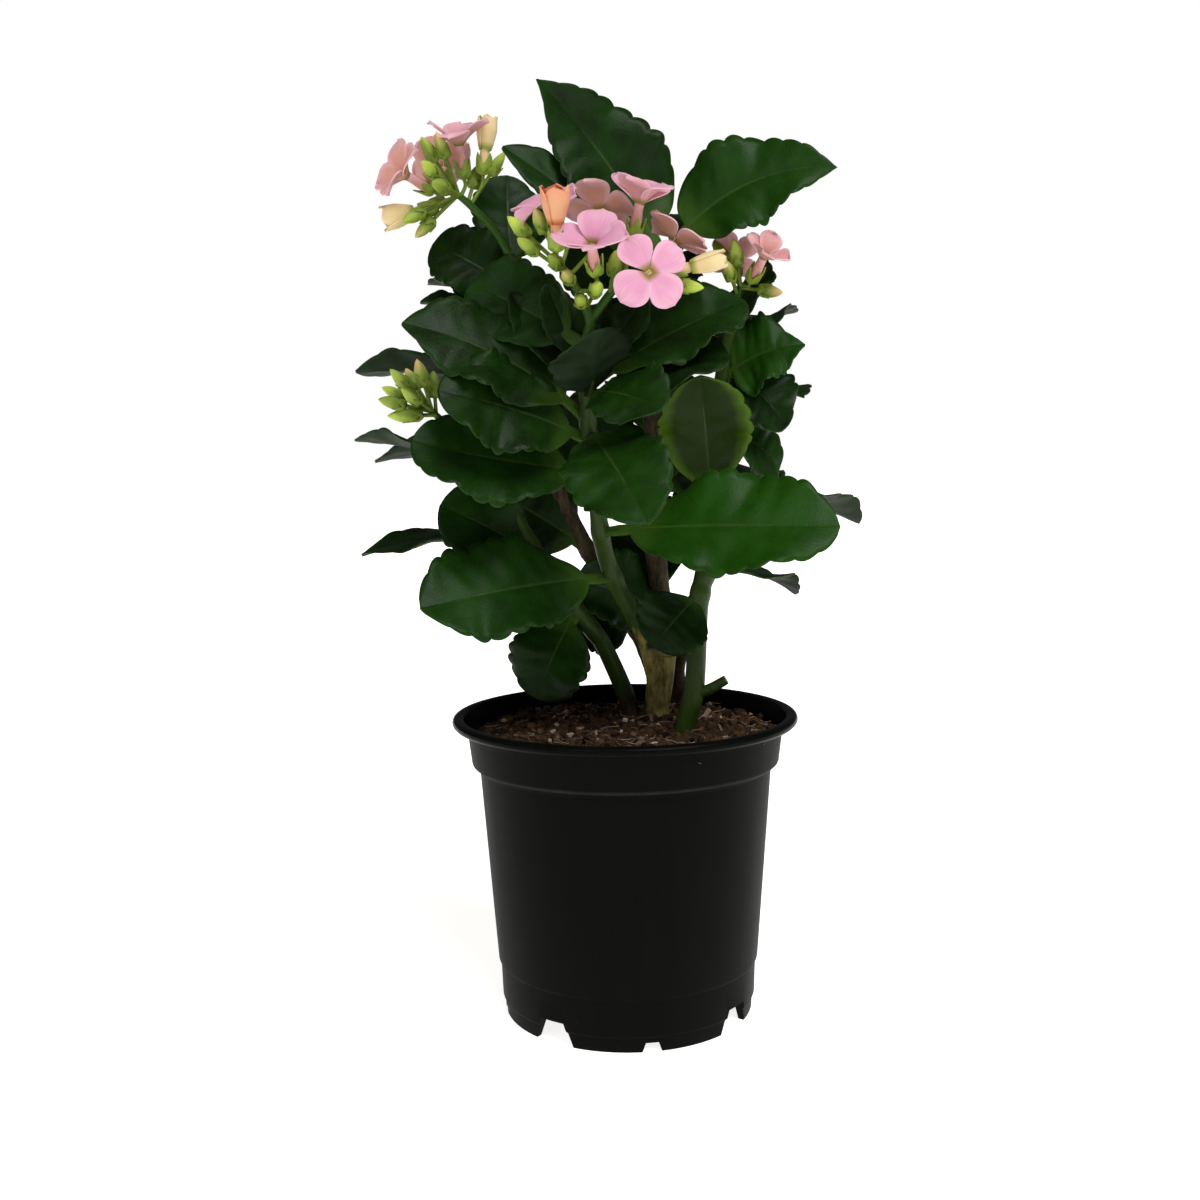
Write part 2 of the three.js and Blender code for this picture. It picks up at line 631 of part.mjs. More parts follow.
function leafSolid({ root, tip, width, face, arch, bow = 0, point = 0.2, phase }) {
  const chord = tip.clone().sub(root);
  const length = chord.length();
  const ahead = chord.clone().divideScalar(length);
  const above = face.clone().addScaledVector(ahead, -face.dot(ahead)).normalize();
  const aside = new THREE.Vector3().crossVectors(ahead, above);
  const rows = width < SMALL_LEAF_WIDTH ? SMALL_LEAF_ROWS : LEAF_ROWS;
  return bladeSolid({
    rows,
    place: (i, sideways, upwards) => {
      const { along } = leafRow(i, rows, point);
      const hump = 4 * along * (1 - along);
      const slope = (4 * (1 - 2 * along)) / length;
      const normal = above.clone().addScaledVector(ahead, -slope * arch).normalize();
      const across = aside.clone().addScaledVector(ahead, -slope * bow).normalize();
      const middle = root.clone().addScaledVector(chord, along);
      middle.addScaledVector(above, arch * hump).addScaledVector(aside, bow * hump);
      return middle.addScaledVector(across, sideways).addScaledVector(normal, upwards);
    },
    edge: (i, sign) => {
      const { spread, stalk } = leafRow(i, rows, point);
      const reach = (width / 2) * spread + STALK_HALF_WIDTH * stalk * (i === 0 ? 0.7 : 1);
      const wave = WAVE * width * spread * Math.sin(0.95 * i + phase + sign);
      return [sign * reach, FOLD * (width / 2) * spread + wave];
    },
    thickness: (i) => {
      const { along } = leafRow(i, rows, point);
      const thin = THREE.MathUtils.lerp(RIB_THICKNESS.blade, RIB_THICKNESS.tip, along);
      return i < STALK_ROWS ? RIB_THICKNESS.foot : thin;
    },
  });
}

function leavesOf(stem) {
  return stem.leaves.map((leaf, number) =>
    leafSolid({
      ...leaf,
      root: stemPoint(stem, leaf.from),
      tip: vec(leaf.tip),
      face: vec(leaf.face).normalize(),
      phase: number * 1.7,
    }),
  );
}

function makeStem(name, stem) {
  const stalks = [stem.path, ...stem.stubs].map((path) => stalk(path));
  return meshOf(name, joined([...stalks, ...leavesOf(stem)]), LEAF);
}

// The turn that takes +Z to the way a flower or bud looks, after a spin about its own axis.
function turnTo(direction, spin) {
  const lean = new THREE.Quaternion().setFromUnitVectors(
    new THREE.Vector3(0, 0, 1),
    direction.clone().normalize(),
  );
  const own = new THREE.Quaternion().setFromAxisAngle(
    new THREE.Vector3(0, 0, 1),
    THREE.MathUtils.degToRad(spin),
  );
  return lean.multiply(own);
}

// A ring of points round +Z; "lift" may raise every second one.
function ring(sides, radius, height, lift = 0, flare = 0) {
  const points = [];
  for (let s = 0; s < sides; s++) {
    const turn = (s * 2 * Math.PI) / sides;
    const out = radius + (s % 2 ? 0 : flare);
    points.push(
      new THREE.Vector3(out * Math.cos(turn), out * Math.sin(turn), height + (s % 2 ? 0 : lift)),
    );
  }
  return points;
}

// The rings of a cup along +Z with four pointed lobes, hollow down to "floor", where the hollow is
// "floorRadius" wide.
function cupRings({ foot, radius, valley, lobe, wall, floor, floorRadius, flare }) {
  const lift = lobe - valley;
  return [
    ring(8, foot, 0),
    ring(8, radius, valley, lift, flare),
    ring(8, radius - wall, valley, lift - wall / 2, flare),
    ring(8, floorRadius, floor),
  ];
}

// A calyx: a small cup of four pointed sepals, on a round foot that is wide enough for its hollow.
function calyxRings() {
  const [foot, ...cup] = cupRings({
    foot: FLOWER_STALK_RADIUS,
    radius: CALYX_RADIUS,
    valley: CALYX_DEPTH,
    lobe: SEPAL_LENGTH,
    wall: CALYX_WALL,
    floor: CALYX_DEPTH - 1,
    floorRadius: CALYX_RADIUS - CALYX_WALL - 0.2,
    flare: 0.3,
  });
  return [foot, ring(8, CALYX_RADIUS - 0.2, 0.6 * CALYX_DEPTH), ...cup];
}

function budRings() {
  return [
    ring(5, FLOWER_STALK_RADIUS, 0),
    ring(5, 0.9 * BUD_RADIUS, 0.25 * BUD_LENGTH),
    ring(5, 0.9 * BUD_RADIUS, 0.6 * BUD_LENGTH),
    ring(5, 0.15, BUD_LENGTH),
  ];
}

// Rings about +Z moved so that +Z goes along the turn's way from a position.
function laid(rings, position, turn) {
  return rings.map((points) => points.map((p) => p.clone().applyQuaternion(turn).add(position)));
}

// A calyx or bud on its own thin stalk, which comes from "hub". The stalk runs straight, or where "bow" is
// a share of its length, that last part of it follows the foot's direction.
function onStalk(rings, { hub, foot, direction, spin, bow = 0 }) {
  const turn = turnTo(direction, spin);
  const knee = foot.clone().addScaledVector(direction, -bow * foot.distanceTo(hub));
  const bend = new THREE.Quaternion().setFromUnitVectors(direction, knee.clone().sub(hub).normalize());
  const halfBend = new THREE.Quaternion().slerp(bend, 0.5);
  const thin = [ring(rings[0].length, FLOWER_STALK_RADIUS, 0)];
  return loft([
    ...laid(thin, hub, bend.multiply(turn)),
    ...(bow > 0 ? laid(thin, knee, halfBend.multiply(turn)) : []),
    ...laid(rings, foot, turn),
  ]);
}

// A petal that leaves the throat towards +X, at "opens" degrees from +Z: broad and round, with a small
// point at its end, and slightly bent back.
function petalSolid(opens) {
  const angle = THREE.MathUtils.degToRad(opens);
  const bend = THREE.MathUtils.degToRad(22);
  const shares = [0, 0.3, 0.6, 0.86, 1];
  const widths = [0.16, 0.66, 1, 0.78, 0];
  return bladeSolid({
    rows: shares.length - 1,
    place: (i, sideways, upwards) => {
      const lean = angle + bend * (shares[i] - 0.5);
      const out = THROAT_RADIUS * 0.45 + Math.sin(lean) * PETAL_LENGTH * shares[i];
      const up = Math.cos(lean) * PETAL_LENGTH * shares[i];
      return new THREE.Vector3(out - Math.cos(lean) * upwards, sideways, up + Math.sin(lean) * upwards);
    },
    edge: (i, sign) => [(sign * widths[i] * PETAL_WIDTH) / 2, 0.6 * widths[i]],
    thickness: () => PETAL_THICKNESS,
  });
}

// A corolla along +Z with its throat at the origin. Its tube stands in its calyx. An open one has four
// petals; a half-open one is a cup with four lobes, which starts a little way down the tube.
function corollaSolid(opens) {
  const foot = CALYX_DEPTH - 1 + GAP - TUBE_LENGTH;
  const tube = loft([ring(6, TUBE_RADIUS, foot), ring(6, THROAT_RADIUS, 0.4)]);
  if (opens < HALF_OPEN_BELOW) {
    const spread = Math.tan(THREE.MathUtils.degToRad(opens)) * PETAL_LENGTH;
    const rings = cupRings({
      foot: 0.9 * TUBE_RADIUS,
      radius: TUBE_RADIUS + 0.4 + 0.5 * spread,
      valley: 0.62 * PETAL_LENGTH,
      lobe: 0.85 * PETAL_LENGTH,
      wall: 0.9,
      floor: 0.3 * PETAL_LENGTH,
      floorRadius: 1.2,
      flare: -0.3,
    });
    return tube.add(loft(laid(rings, new THREE.Vector3(0, 0, -2.5), new THREE.Quaternion())));
  }
  const upwards = new THREE.Vector3(0, 0, 1);
  const petals = [0, 90, 180, 270].map((spin) => {
    return placed(petalSolid(opens), new THREE.Vector3(), turnTo(upwards, spin));
  });
  return joined([tube, ...petals]);
}

function placed(solid, position, quaternion) {
  const matrix = new THREE.Matrix4().compose(position, quaternion, new THREE.Vector3(1, 1, 1));
  return solidOf(geometryOf(solid).applyMatrix4(matrix));
}

// The first point of a head's main stalk: clear of its stem's top and in line with it.
function seatOn(stem) {
  const [below, top] = stem.path.slice(-2);
  const upwards = vec(top).sub(vec(below)).normalize();
  return vec(top).addScaledVector(upwards, 2.5 * GAP).toArray().concat(0.8 * top[3]);
}

function makeHead(name, head) {
  const seat = seatOn(STEMS[head.stem]);
  const stalks = head.stalks.map((path, i) => stalk(i === 0 ? [seat, ...path] : path));
  const calyces = head.blooms.map((bloom) => {
    const direction = vec(bloom.faces).normalize();
    const foot = vec(bloom.at).addScaledVector(direction, -TUBE_LENGTH);
    return onStalk(calyxRings(), { hub: vec(bloom.hub), foot, direction, spin: bloom.spin });
  });
  const buds = head.buds.map((bud, number) => {
    const hub = vec(bud.hub);
    const direction = vec(bud.tip).sub(hub).normalize();
    const foot = vec(bud.tip).addScaledVector(direction, -BUD_LENGTH);
    return onStalk(budRings(), { hub, foot, direction, spin: BUD_SPIN * number, bow: BUD_STALK_BOW });
  });
  return meshOf(name, joined([...stalks, ...calyces, ...buds]), BUD_GREEN);
}

function finishOf(name) {
  if (name.includes("orange")) return ORANGE;
  return name.includes("cream") ? CREAM : PINK;
}

function makeCorolla(bloom) {
  const mesh = meshOf(bloom.name, corollaSolid(bloom.opens), finishOf(bloom.name));
  mesh.position.copy(vec(bloom.at));
  mesh.quaternion.copy(turnTo(vec(bloom.faces), bloom.spin + 45));
  return mesh;
}

const plant = new THREE.Group();
for (const [name, stem] of Object.entries(STEMS)) {
  plant.add(makeStem(name, stem));
}
for (const [name, head] of Object.entries(HEADS)) {
  const spray = new THREE.Group();
  spray.add(makeHead(name, head));
  for (const bloom of head.blooms) {
    spray.add(makeCorolla(bloom));
  }
  plant.add(spray);
}

const pottedPlant = new THREE.Group();
pottedPlant.add(makePot(), makeSoil(), plant);

export default pottedPlant;
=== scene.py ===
import math
import random

import bpy
from mathutils import Matrix, Quaternion, Vector, noise


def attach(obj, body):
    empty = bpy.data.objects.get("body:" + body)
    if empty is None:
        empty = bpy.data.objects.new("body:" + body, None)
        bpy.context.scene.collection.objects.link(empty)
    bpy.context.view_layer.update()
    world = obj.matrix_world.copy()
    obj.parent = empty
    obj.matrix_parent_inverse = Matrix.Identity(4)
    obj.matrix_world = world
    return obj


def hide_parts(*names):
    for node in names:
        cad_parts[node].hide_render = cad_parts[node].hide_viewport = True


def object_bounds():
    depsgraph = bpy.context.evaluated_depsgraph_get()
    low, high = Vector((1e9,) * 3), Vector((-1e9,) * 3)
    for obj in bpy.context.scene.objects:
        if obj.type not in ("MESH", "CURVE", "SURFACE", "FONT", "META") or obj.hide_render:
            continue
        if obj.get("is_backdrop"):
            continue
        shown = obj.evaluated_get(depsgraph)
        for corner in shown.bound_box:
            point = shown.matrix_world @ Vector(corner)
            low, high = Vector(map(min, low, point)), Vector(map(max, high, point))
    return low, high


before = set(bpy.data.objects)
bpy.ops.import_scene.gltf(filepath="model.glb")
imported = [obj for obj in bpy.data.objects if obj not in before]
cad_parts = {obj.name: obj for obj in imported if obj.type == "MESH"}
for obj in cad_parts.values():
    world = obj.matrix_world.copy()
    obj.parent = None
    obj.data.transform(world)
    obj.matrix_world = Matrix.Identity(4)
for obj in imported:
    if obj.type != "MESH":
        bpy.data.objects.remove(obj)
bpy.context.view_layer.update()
bpy.ops.object.select_all(action="DESELECT")
MM = 0.001


# The place it stands in: a wide white table under one broad lamp up on the right and a dim white room, as
# in a product photograph, and the camera that took it.
def linear(code):
    """An sRGB hex colour as the linear values that a shader takes."""
    parts = [int(code[k : k + 2], 16) / 255 for k in (1, 3, 5)]
    bent = [p / 12.92 if p <= 0.04045 else ((p + 0.055) / 1.055) ** 2.4 for p in parts]
    return (*bent, 1.0)


def node(tree, kind, inputs=None, **settings):
    """Adds a node with its settings; an input is a value or the socket that feeds it."""
    made = tree.nodes.new(kind)
    for name, value in settings.items():
        setattr(made, name, value)
    for name, value in (inputs or {}).items():
        if isinstance(value, bpy.types.NodeSocket):
            tree.links.new(value, made.inputs[name])
        else:
            made.inputs[name].default_value = value
    return made


def begun(name):
    """A new material, with its tree, its shader and the node that gives the place on a piece."""
    material = bpy.data.materials.new(name)
    material.use_nodes = True
    tree = material.node_tree
    return material, tree, tree.nodes["Principled BSDF"], node(tree, "ShaderNodeTexCoord")


# White melamine table top, evenly lit as if from below: smooth, without a sheen that would mirror the pot.
table_white, tree, shader, place = begun("white_table_laminate")
cloud = node(tree, "ShaderNodeTexNoise", {"Vector": place.outputs["Object"], "Scale": 3.0, "Detail": 2.0})
tint = node(
    tree,
    "ShaderNodeMix",
    {0: cloud.outputs["Fac"], 6: linear("#f6f3ee"), 7: linear("#fbfaf8")},
    data_type="RGBA",
)
tree.links.new(tint.outputs[2], shader.inputs["Base Color"])
shader.inputs["Roughness"].default_value = 0.9
shader.inputs["Specular IOR Level"].default_value = 0.1
shader.inputs["Emission Color"].default_value = (1, 0.985, 0.965, 1)
shader.inputs["Emission Strength"].default_value = 0.88

bpy.ops.mesh.primitive_plane_add(size=16)
table_top = bpy.context.object
table_top.name = "table_top"
table_top.data.materials.append(table_white)
table_top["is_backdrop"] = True

world = bpy.data.worlds.new("dim_white_room")
world.use_nodes = True
bpy.context.scene.world = world
tree = world.node_tree
sky = tree.nodes["Background"]
sight = node(tree, "ShaderNodeLightPath")
glow = node(
    tree,
    "ShaderNodeMapRange",
    {"Value": sight.outputs["Is Camera Ray"], "To Min": 0.08, "To Max": 1.0},
)
sky.inputs["Color"].default_value = (1, 1, 1, 1)
tree.links.new(glow.outputs["Result"], sky.inputs["Strength"])

bpy.ops.object.light_add(type="SUN", rotation=(math.radians(30), math.radians(24), 0))
lamp = bpy.context.object
lamp.name = "broad_lamp"
lamp.data.energy = 2.5
lamp.data.angle = math.radians(38)
bpy.ops.object.light_add(type="AREA", location=(-0.5, -0.75, 0.75))
softbox = bpy.context.object
softbox.name = "front_softbox"
softbox.data.shape = "DISK"
softbox.data.size = 0.5
softbox.data.energy = 1.4
softbox.rotation_euler = (Vector((0, 0, 0.15)) - softbox.location).to_track_quat("-Z", "Y").to_euler()

bpy.ops.object.camera_add()
camera = bpy.context.object
camera.name = "photo_camera"
camera.data.sensor_width = 36
camera.data.lens = 40.5
camera.matrix_world = (
    Matrix.Translation((-0.0073, -0.427, 0.177))
    @ Matrix.Rotation(math.radians(84), 4, "X")
    @ Matrix.Rotation(math.radians(-0.93), 4, "Z")
)
camera.data.clip_start = 0.01
bpy.context.scene.camera = camera
bpy.context.scene.view_settings.view_transform = "Standard"


# The pot: one injection-moulded shell of black polypropylene, 96 mm tall and 110 mm across its rolled rim,
# with a collar band, two small steps near the foot and eight notches through the foot ring.
POT_SECTION = [
    (0.01, 8.5),
    (37.2, 8.5),
    (37.9, 0),
    (40, 0),
    (40.2, 4.6),
    (40.9, 5),
    (41.3, 16.6),
    (42, 17),
    (46.6, 79.5),
    (49, 81.1),
    (50.4, 92.6),
    (54.1, 93),
    (55, 93.9),
    (55, 95),
    (54.4, 95.8),
    (53.6, 96),
    (52.4, 96),
    (51.5, 95.7),
    (51.2, 95),
    (47.6, 81.9),
    (45.2, 79.7),
    (40.6, 11.3),
    (39, 9.9),
    (0.01, 9.9),
]
# Height, width at the bottom and at the top, and azimuth of the wide and the small notch of each quarter.
FOOT_NOTCHES = [(7.5, 14.5, 8.5, -36), (3, 6.4, 4, 9)]
FOOT_RING_RADIUS = 38
DRAIN_HOLE_RADIUS = 4.5
DRAIN_HOLE_REACH = 24
bpy.ops.mesh.primitive_plane_add(size=0.001)
pot = bpy.context.object
pot.name = "nursery_pot"
bpy.ops.object.mode_set(mode="EDIT")
bpy.ops.mesh.select_all(action="SELECT")
bpy.ops.mesh.merge(type="CENTER")
bpy.ops.transform.translate(value=(POT_SECTION[0][0] * MM, 0, POT_SECTION[0][1] * MM))
for (r0, z0), (r1, z1) in zip(POT_SECTION, POT_SECTION[1:]):
    bpy.ops.mesh.extrude_region_move(
        TRANSFORM_OT_translate={"value": ((r1 - r0) * MM, 0, (z1 - z0) * MM)}
    )
bpy.ops.mesh.select_all(action="SELECT")
bpy.ops.mesh.spin(steps=144, angle=2 * math.pi, center=(0, 0, 0), axis=(0, 0, 1))
bpy.ops.mesh.select_all(action="SELECT")
bpy.ops.mesh.remove_doubles(threshold=2e-5)
bpy.ops.mesh.normals_make_consistent(inside=False)
bpy.ops.object.mode_set(mode="OBJECT")


def applied(piece, kind, **settings):
    """Adds a modifier with its settings and applies it."""
    bpy.ops.object.select_all(action="DESELECT")
    piece.select_set(True)
    bpy.context.view_layer.objects.active = piece
    made = piece.modifiers.new(kind.lower(), kind)
    for name, value in settings.items():
        setattr(made, name, value)
    bpy.ops.object.modifier_apply(modifier=made.name)
    return piece


applied(pot, "BEVEL", width=0.35 * MM, segments=2, limit_method="ANGLE", angle_limit=math.radians(28))
cutters = []
for turn in (0, 90, 180, 270):
    for height, bottom, top, azimuth in FOOT_NOTCHES:
        bpy.ops.mesh.primitive_cube_add(size=1)
        cutter = bpy.context.object
        for corner in cutter.data.vertices:
            low = corner.co.z < 0
            wide = bottom + (bottom - top) / height * 0.5 if low else top
            spot = Vector((corner.co.x * wide, -FOOT_RING_RADIUS + corner.co.y * 9, -1 if low else height))
            spot.rotate(Quaternion((0, 0, 1), math.radians(azimuth + turn)))
            corner.co = spot * MM
        cutters.append(cutter)
    bpy.ops.mesh.primitive_cylinder_add(vertices=32, radius=DRAIN_HOLE_RADIUS * MM, depth=6 * MM)
    cutter = bpy.context.object
    around = math.radians(turn + 45)
    hole = Vector((DRAIN_HOLE_REACH * math.cos(around), DRAIN_HOLE_REACH * math.sin(around), 9.2))
    cutter.data.transform(Matrix.Translation(hole * MM))
    cutters.append(cutter)
for cutter in cutters:
    applied(pot, "BOOLEAN", operation="DIFFERENCE", solver="EXACT", object=cutter)
    bpy.data.objects.remove(cutter)
bpy.ops.object.shade_smooth_by_angle(angle=math.radians(32))

# Black polypropylene, injection moulded: near black, a soft sheen on the wall and a glossier rim, with a
# fine spark-eroded grain, faint upright flow streaks, dust low down and a pale line of painted highlight on
# the collar's edge.
plastic, tree, shader, place = begun("black_moulded_polypropylene")
spot = node(tree, "ShaderNodeSeparateXYZ", {0: place.outputs["Object"]})
stretch = node(
    tree, "ShaderNodeMapping", {"Vector": place.outputs["Object"], "Scale": (1.0, 1.0, 0.12)}
)
# Flow streaks about 6 mm wide and 50 mm long.
streak = node(
    tree,
    "ShaderNodeTexNoise",
    {"Vector": stretch.outputs[0], "Scale": 160.0, "Detail": 4.0, "Roughness": 0.6},
)
# Mould grain of about 0.4 mm, a little coarser than the real one so that it shows.
grain = node(
    tree,
    "ShaderNodeTexNoise",
    {"Vector": place.outputs["Object"], "Scale": 2400.0, "Detail": 3.0, "Roughness": 0.7},
)
body = node(
    tree,
    "ShaderNodeMix",
    {0: streak.outputs["Fac"], 6: linear("#050605"), 7: linear("#0d0e0c")},
    data_type="RGBA",
)
# Dust specks of 1 to 2 mm, denser towards the foot.
speck = node(
    tree,
    "ShaderNodeTexNoise",
    {"Vector": place.outputs["Object"], "Scale": 620.0, "Detail": 6.0, "Roughness": 0.8},
)
low_down = node(
    tree,
    "ShaderNodeMapRange",
    {"Value": spot.outputs["Z"], "From Min": 0.0, "From Max": 0.03, "To Min": 0.62, "To Max": 0.7},
)
dusty = node(
    tree,
    "ShaderNodeMapRange",
    {"Value": speck.outputs["Fac"], "From Min": low_down.outputs[0], "From Max": 0.82, "To Max": 0.5},
)
with_dust = node(
    tree,
    "ShaderNodeMix",
    {0: dusty.outputs[0], 6: body.outputs[2], 7: linear("#6b6455")},
    data_type="RGBA",
)
# A painted highlight: a pale line about 1 mm high where the collar steps in to the wall, broken up by the
# streaks.
from_edge = node(
    tree, "ShaderNodeMath", {0: spot.outputs["Z"], 1: 0.0812}, operation="SUBTRACT"
)
edge_gap = node(tree, "ShaderNodeMath", {0: from_edge.outputs[0]}, operation="ABSOLUTE")
highlight_band = node(
    tree,
    "ShaderNodeMapRange",
    {"Value": edge_gap.outputs[0], "From Min": 0.0008, "From Max": 0.0002, "To Min": 0.0, "To Max": 0.08},
)
painted_highlight = node(
    tree,
    "ShaderNodeMath",
    {0: highlight_band.outputs[0], 1: streak.outputs["Fac"]},
    operation="MULTIPLY",
)
coloured = node(
    tree,
    "ShaderNodeMix",
    {0: painted_highlight.outputs[0], 6: with_dust.outputs[2], 7: linear("#8b8f8b")},
    data_type="RGBA",
)
tree.links.new(coloured.outputs[2], shader.inputs["Base Color"])
at_rim = node(
    tree,
    "ShaderNodeMapRange",
    {"Value": spot.outputs["Z"], "From Min": 0.0905, "From Max": 0.0935, "To Min": 0.42, "To Max": 0.2},
)
gloss = node(
    tree,
    "ShaderNodeMath",
    {0: streak.outputs["Fac"], 1: 0.14, 2: at_rim.outputs[0]},
    operation="MULTIPLY_ADD",
)
tree.links.new(gloss.outputs[0], shader.inputs["Roughness"])
relief = node(
    tree,
    "ShaderNodeBump",
    {"Strength": 0.25, "Distance": 0.0001, "Height": grain.outputs["Fac"]},
)
tree.links.new(relief.outputs[0], shader.inputs["Normal"])
shader.inputs["IOR"].default_value = 1.49
shader.inputs["Specular IOR Level"].default_value = 0.025
pot.data.materials.append(plastic)
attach(pot, "root")
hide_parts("pot")


# The growing medium: peat with coir, pressed in to 7 mm under the rim and a little mounded round the
# stems, with loose crumbs, root fibres and pale bits of bark and grit on top.
STEM_BASES = [(11, 12, 4), (19, 30, 3.6), (2, 16, 3), (19, -5, 3.3), (13, 37, 3)]
PEAT_EDGE = [(49.2, 88), (47.3, 82), (44.9, 79), (40.2, 11.8), (38.6, 10.2)]
PEAT_TOP_RINGS = 64
CRUMBS, FLAKES, THREADS = 2300, 330, 240


def peat_height(x, y):
    """The height of the peat's surface, as in the model, with smaller clods added."""
    mound = 3 * math.exp(-((math.hypot(x - 10, y - 14) / 26) ** 2))
    lumps = math.sin(x * 0.55 + 1.3) * math.cos(y * 0.61) + 0.8 * math.sin(x * 0.31 - y * 0.47 + 2)
    clods = 0.9 * noise.noise(Vector((x * 0.35, y * 0.35, 0)))
    clods += 0.6 * noise.noise(Vector((x * 0.9, y * 0.9, 4)))
    return 89 + mound + 0.9 * lumps + clods


def formed(name, columns, rows, place, closed=True, body=None):
    """A grid primitive whose points are put where place(across, along) says, both from 0 to 1.

    A sheet may get a "body" group, the share of its full thickness that each point gets later."""
    bpy.ops.mesh.primitive_grid_add(x_subdivisions=columns, y_subdivisions=rows, size=1)
    piece = bpy.context.object
    piece.name = name
    if body:
        group = piece.vertex_groups.new(name="body")
    for point in piece.data.vertices:
        across, along = point.co.x + 0.5, point.co.y + 0.5
        point.co = place(across, along) * MM
        if body:
            group.add([point.index], body(across, along), "REPLACE")
    bpy.ops.object.mode_set(mode="EDIT")
    bpy.ops.mesh.select_all(action="SELECT")
    bpy.ops.mesh.remove_doubles(threshold=2e-6)
    if closed:
        bpy.ops.mesh.normals_make_consistent(inside=False)
    bpy.ops.object.mode_set(mode="OBJECT")
    return piece


def joined(name, parts):
    """The parts as one piece."""
    bpy.ops.object.select_all(action="DESELECT")
    for part in parts:
        part.select_set(True)
    bpy.context.view_layer.objects.active = parts[0]
    if len(parts) > 1:
        bpy.ops.object.join()
    piece = bpy.context.object
    piece.name = name
    piece.data.name = name
    return piece


def marked(piece, **values):
    """Gives every point of a piece a number for its material, the same all over or by its place in mm."""
    for name, value in values.items():
        layer = piece.data.attributes.new(name, "FLOAT", "POINT")
        numbers = [value(p.co / MM) if callable(value) else value for p in piece.data.vertices]
        layer.data.foreach_set("value", numbers)
    return piece


def peat_place(across, along):
    """The surface from its middle out to the pot's wall, then down the wall and in under the peat."""
    turn = 2 * math.pi * across
    rings = PEAT_TOP_RINGS + len(PEAT_EDGE) + 1
    ring = round(along * rings)
    if ring <= PEAT_TOP_RINGS:
        radius = 48.9 * ring / PEAT_TOP_RINGS
        x, y = radius * math.cos(turn), radius * math.sin(turn)
        return Vector((x, y, peat_height(x, y)))
    if ring == rings:
        return Vector((0, 0, PEAT_EDGE[-1][1]))
    radius, height = PEAT_EDGE[ring - PEAT_TOP_RINGS - 1]
    return Vector((radius * math.cos(turn), radius * math.sin(turn), height))


bed = marked(formed("bed", 200, PEAT_TOP_RINGS + len(PEAT_EDGE) + 1, peat_place), tone=0.35, pale=0.0)

rng = random.Random(7)


def scattered(name, shape, places):
    """One mesh with a copy of the shape at each place: (matrix, tone, pale)."""
    points, faces, tones, pales = [], [], [], []
    for matrix, tone, pale in places:
        first = len(points)
        for point in shape.data.vertices:
            points.append(matrix @ point.co)
        for face in shape.data.polygons:
            faces.append([first + k for k in face.vertices])
        tones.extend([tone] * len(shape.data.vertices))
        pales.extend([pale] * len(shape.data.vertices))
    mesh = bpy.data.meshes.new(name)
    mesh.from_pydata(points, [], faces)
    piece = bpy.data.objects.new(name, mesh)
    bpy.context.scene.collection.objects.link(piece)
    for layer_name, numbers in (("tone", tones), ("pale", pales)):
        mesh.attributes.new(layer_name, "FLOAT", "POINT").data.foreach_set("value", numbers)
    bpy.data.objects.remove(shape)
    return piece


def on_peat(clear):
    """A free spot on the peat, clear of the stems."""
    while True:
        turn, radius = rng.uniform(0, 2 * math.pi), 48.6 * math.sqrt(rng.random())
        x, y = radius * math.cos(turn), radius * math.sin(turn)
        if all(math.hypot(x - a, y - b) > r + clear for a, b, r in STEM_BASES):
            return Vector((x, y, peat_height(x, y)))


def tumbled(spot, size):
    """A turned and stretched place for a bit of peat or bark, in metres."""
    axis = Vector((rng.gauss(0, 1), rng.gauss(0, 1), rng.gauss(0, 1))).normalized()
    return Matrix.LocRotScale(spot * MM, Quaternion(axis, rng.uniform(0, 6)), Vector(size) * MM)


bpy.ops.mesh.primitive_ico_sphere_add(subdivisions=1, radius=1)
clod = bpy.context.object
for point in clod.data.vertices:
    point.co *= 1 + 0.35 * noise.noise(point.co * 2.3)
crumb_places = []
for _ in range(CRUMBS):
    size = 0.35 + 1.6 * rng.random() ** 4
    spot = on_peat(size * 0.6)
    spot.z += 0.2 * size
    stretch_by = (size, size * rng.uniform(0.6, 1), size * rng.uniform(0.5, 0.9))
    crumb_places.append((tumbled(spot, stretch_by), rng.random(), 0.0))
crumbs = scattered("crumbs", clod, crumb_places)

bpy.ops.mesh.primitive_cube_add(size=2)
flake = bpy.context.object
for point in flake.data.vertices:
    point.co *= 1 + 0.3 * noise.noise(point.co * 1.7 + Vector((5, 0, 0)))
flake_places = []
for _ in range(FLAKES):
    size = 0.25 + 1.2 * rng.random() ** 2
    spot = on_peat(size)
    spot.z += 0.3
    shape_by = (size, size * rng.uniform(0.3, 0.9), size * rng.uniform(0.25, 0.7))
    flake_places.append((tumbled(spot, shape_by), rng.random(), rng.uniform(0.1, 1) ** 2.2))
flakes = scattered("flakes", flake, flake_places)

bpy.ops.mesh.primitive_cylinder_add(vertices=4, radius=1, depth=2)
bpy.ops.object.mode_set(mode="EDIT")
bpy.ops.mesh.select_all(action="SELECT")
bpy.ops.mesh.subdivide(number_cuts=1)
bpy.ops.object.mode_set(mode="OBJECT")
thread = bpy.context.object
for point in thread.data.vertices:
    point.co.x += 8 * (1 - point.co.z**2)
thread_places = []
for _ in range(THREADS):
    spot = on_peat(1.5)
    spot.z += 0.5
    thick = rng.uniform(0.09, 0.2)
    heading = Quaternion((0, 0, 1), rng.uniform(0, 6.3))
    flat = heading @ Quaternion((1, 0, 0), math.radians(90 + rng.uniform(-14, 14)))
    size = Vector((thick, thick, rng.uniform(1.5, 4.5)))
    lying = Matrix.LocRotScale(spot * MM, flat, size * MM)
    thread_places.append((lying, rng.random(), rng.uniform(0.1, 0.6)))
threads = scattered("threads", thread, thread_places)
peat = joined("peat_with_crumbs", [bed, crumbs, flakes, threads])
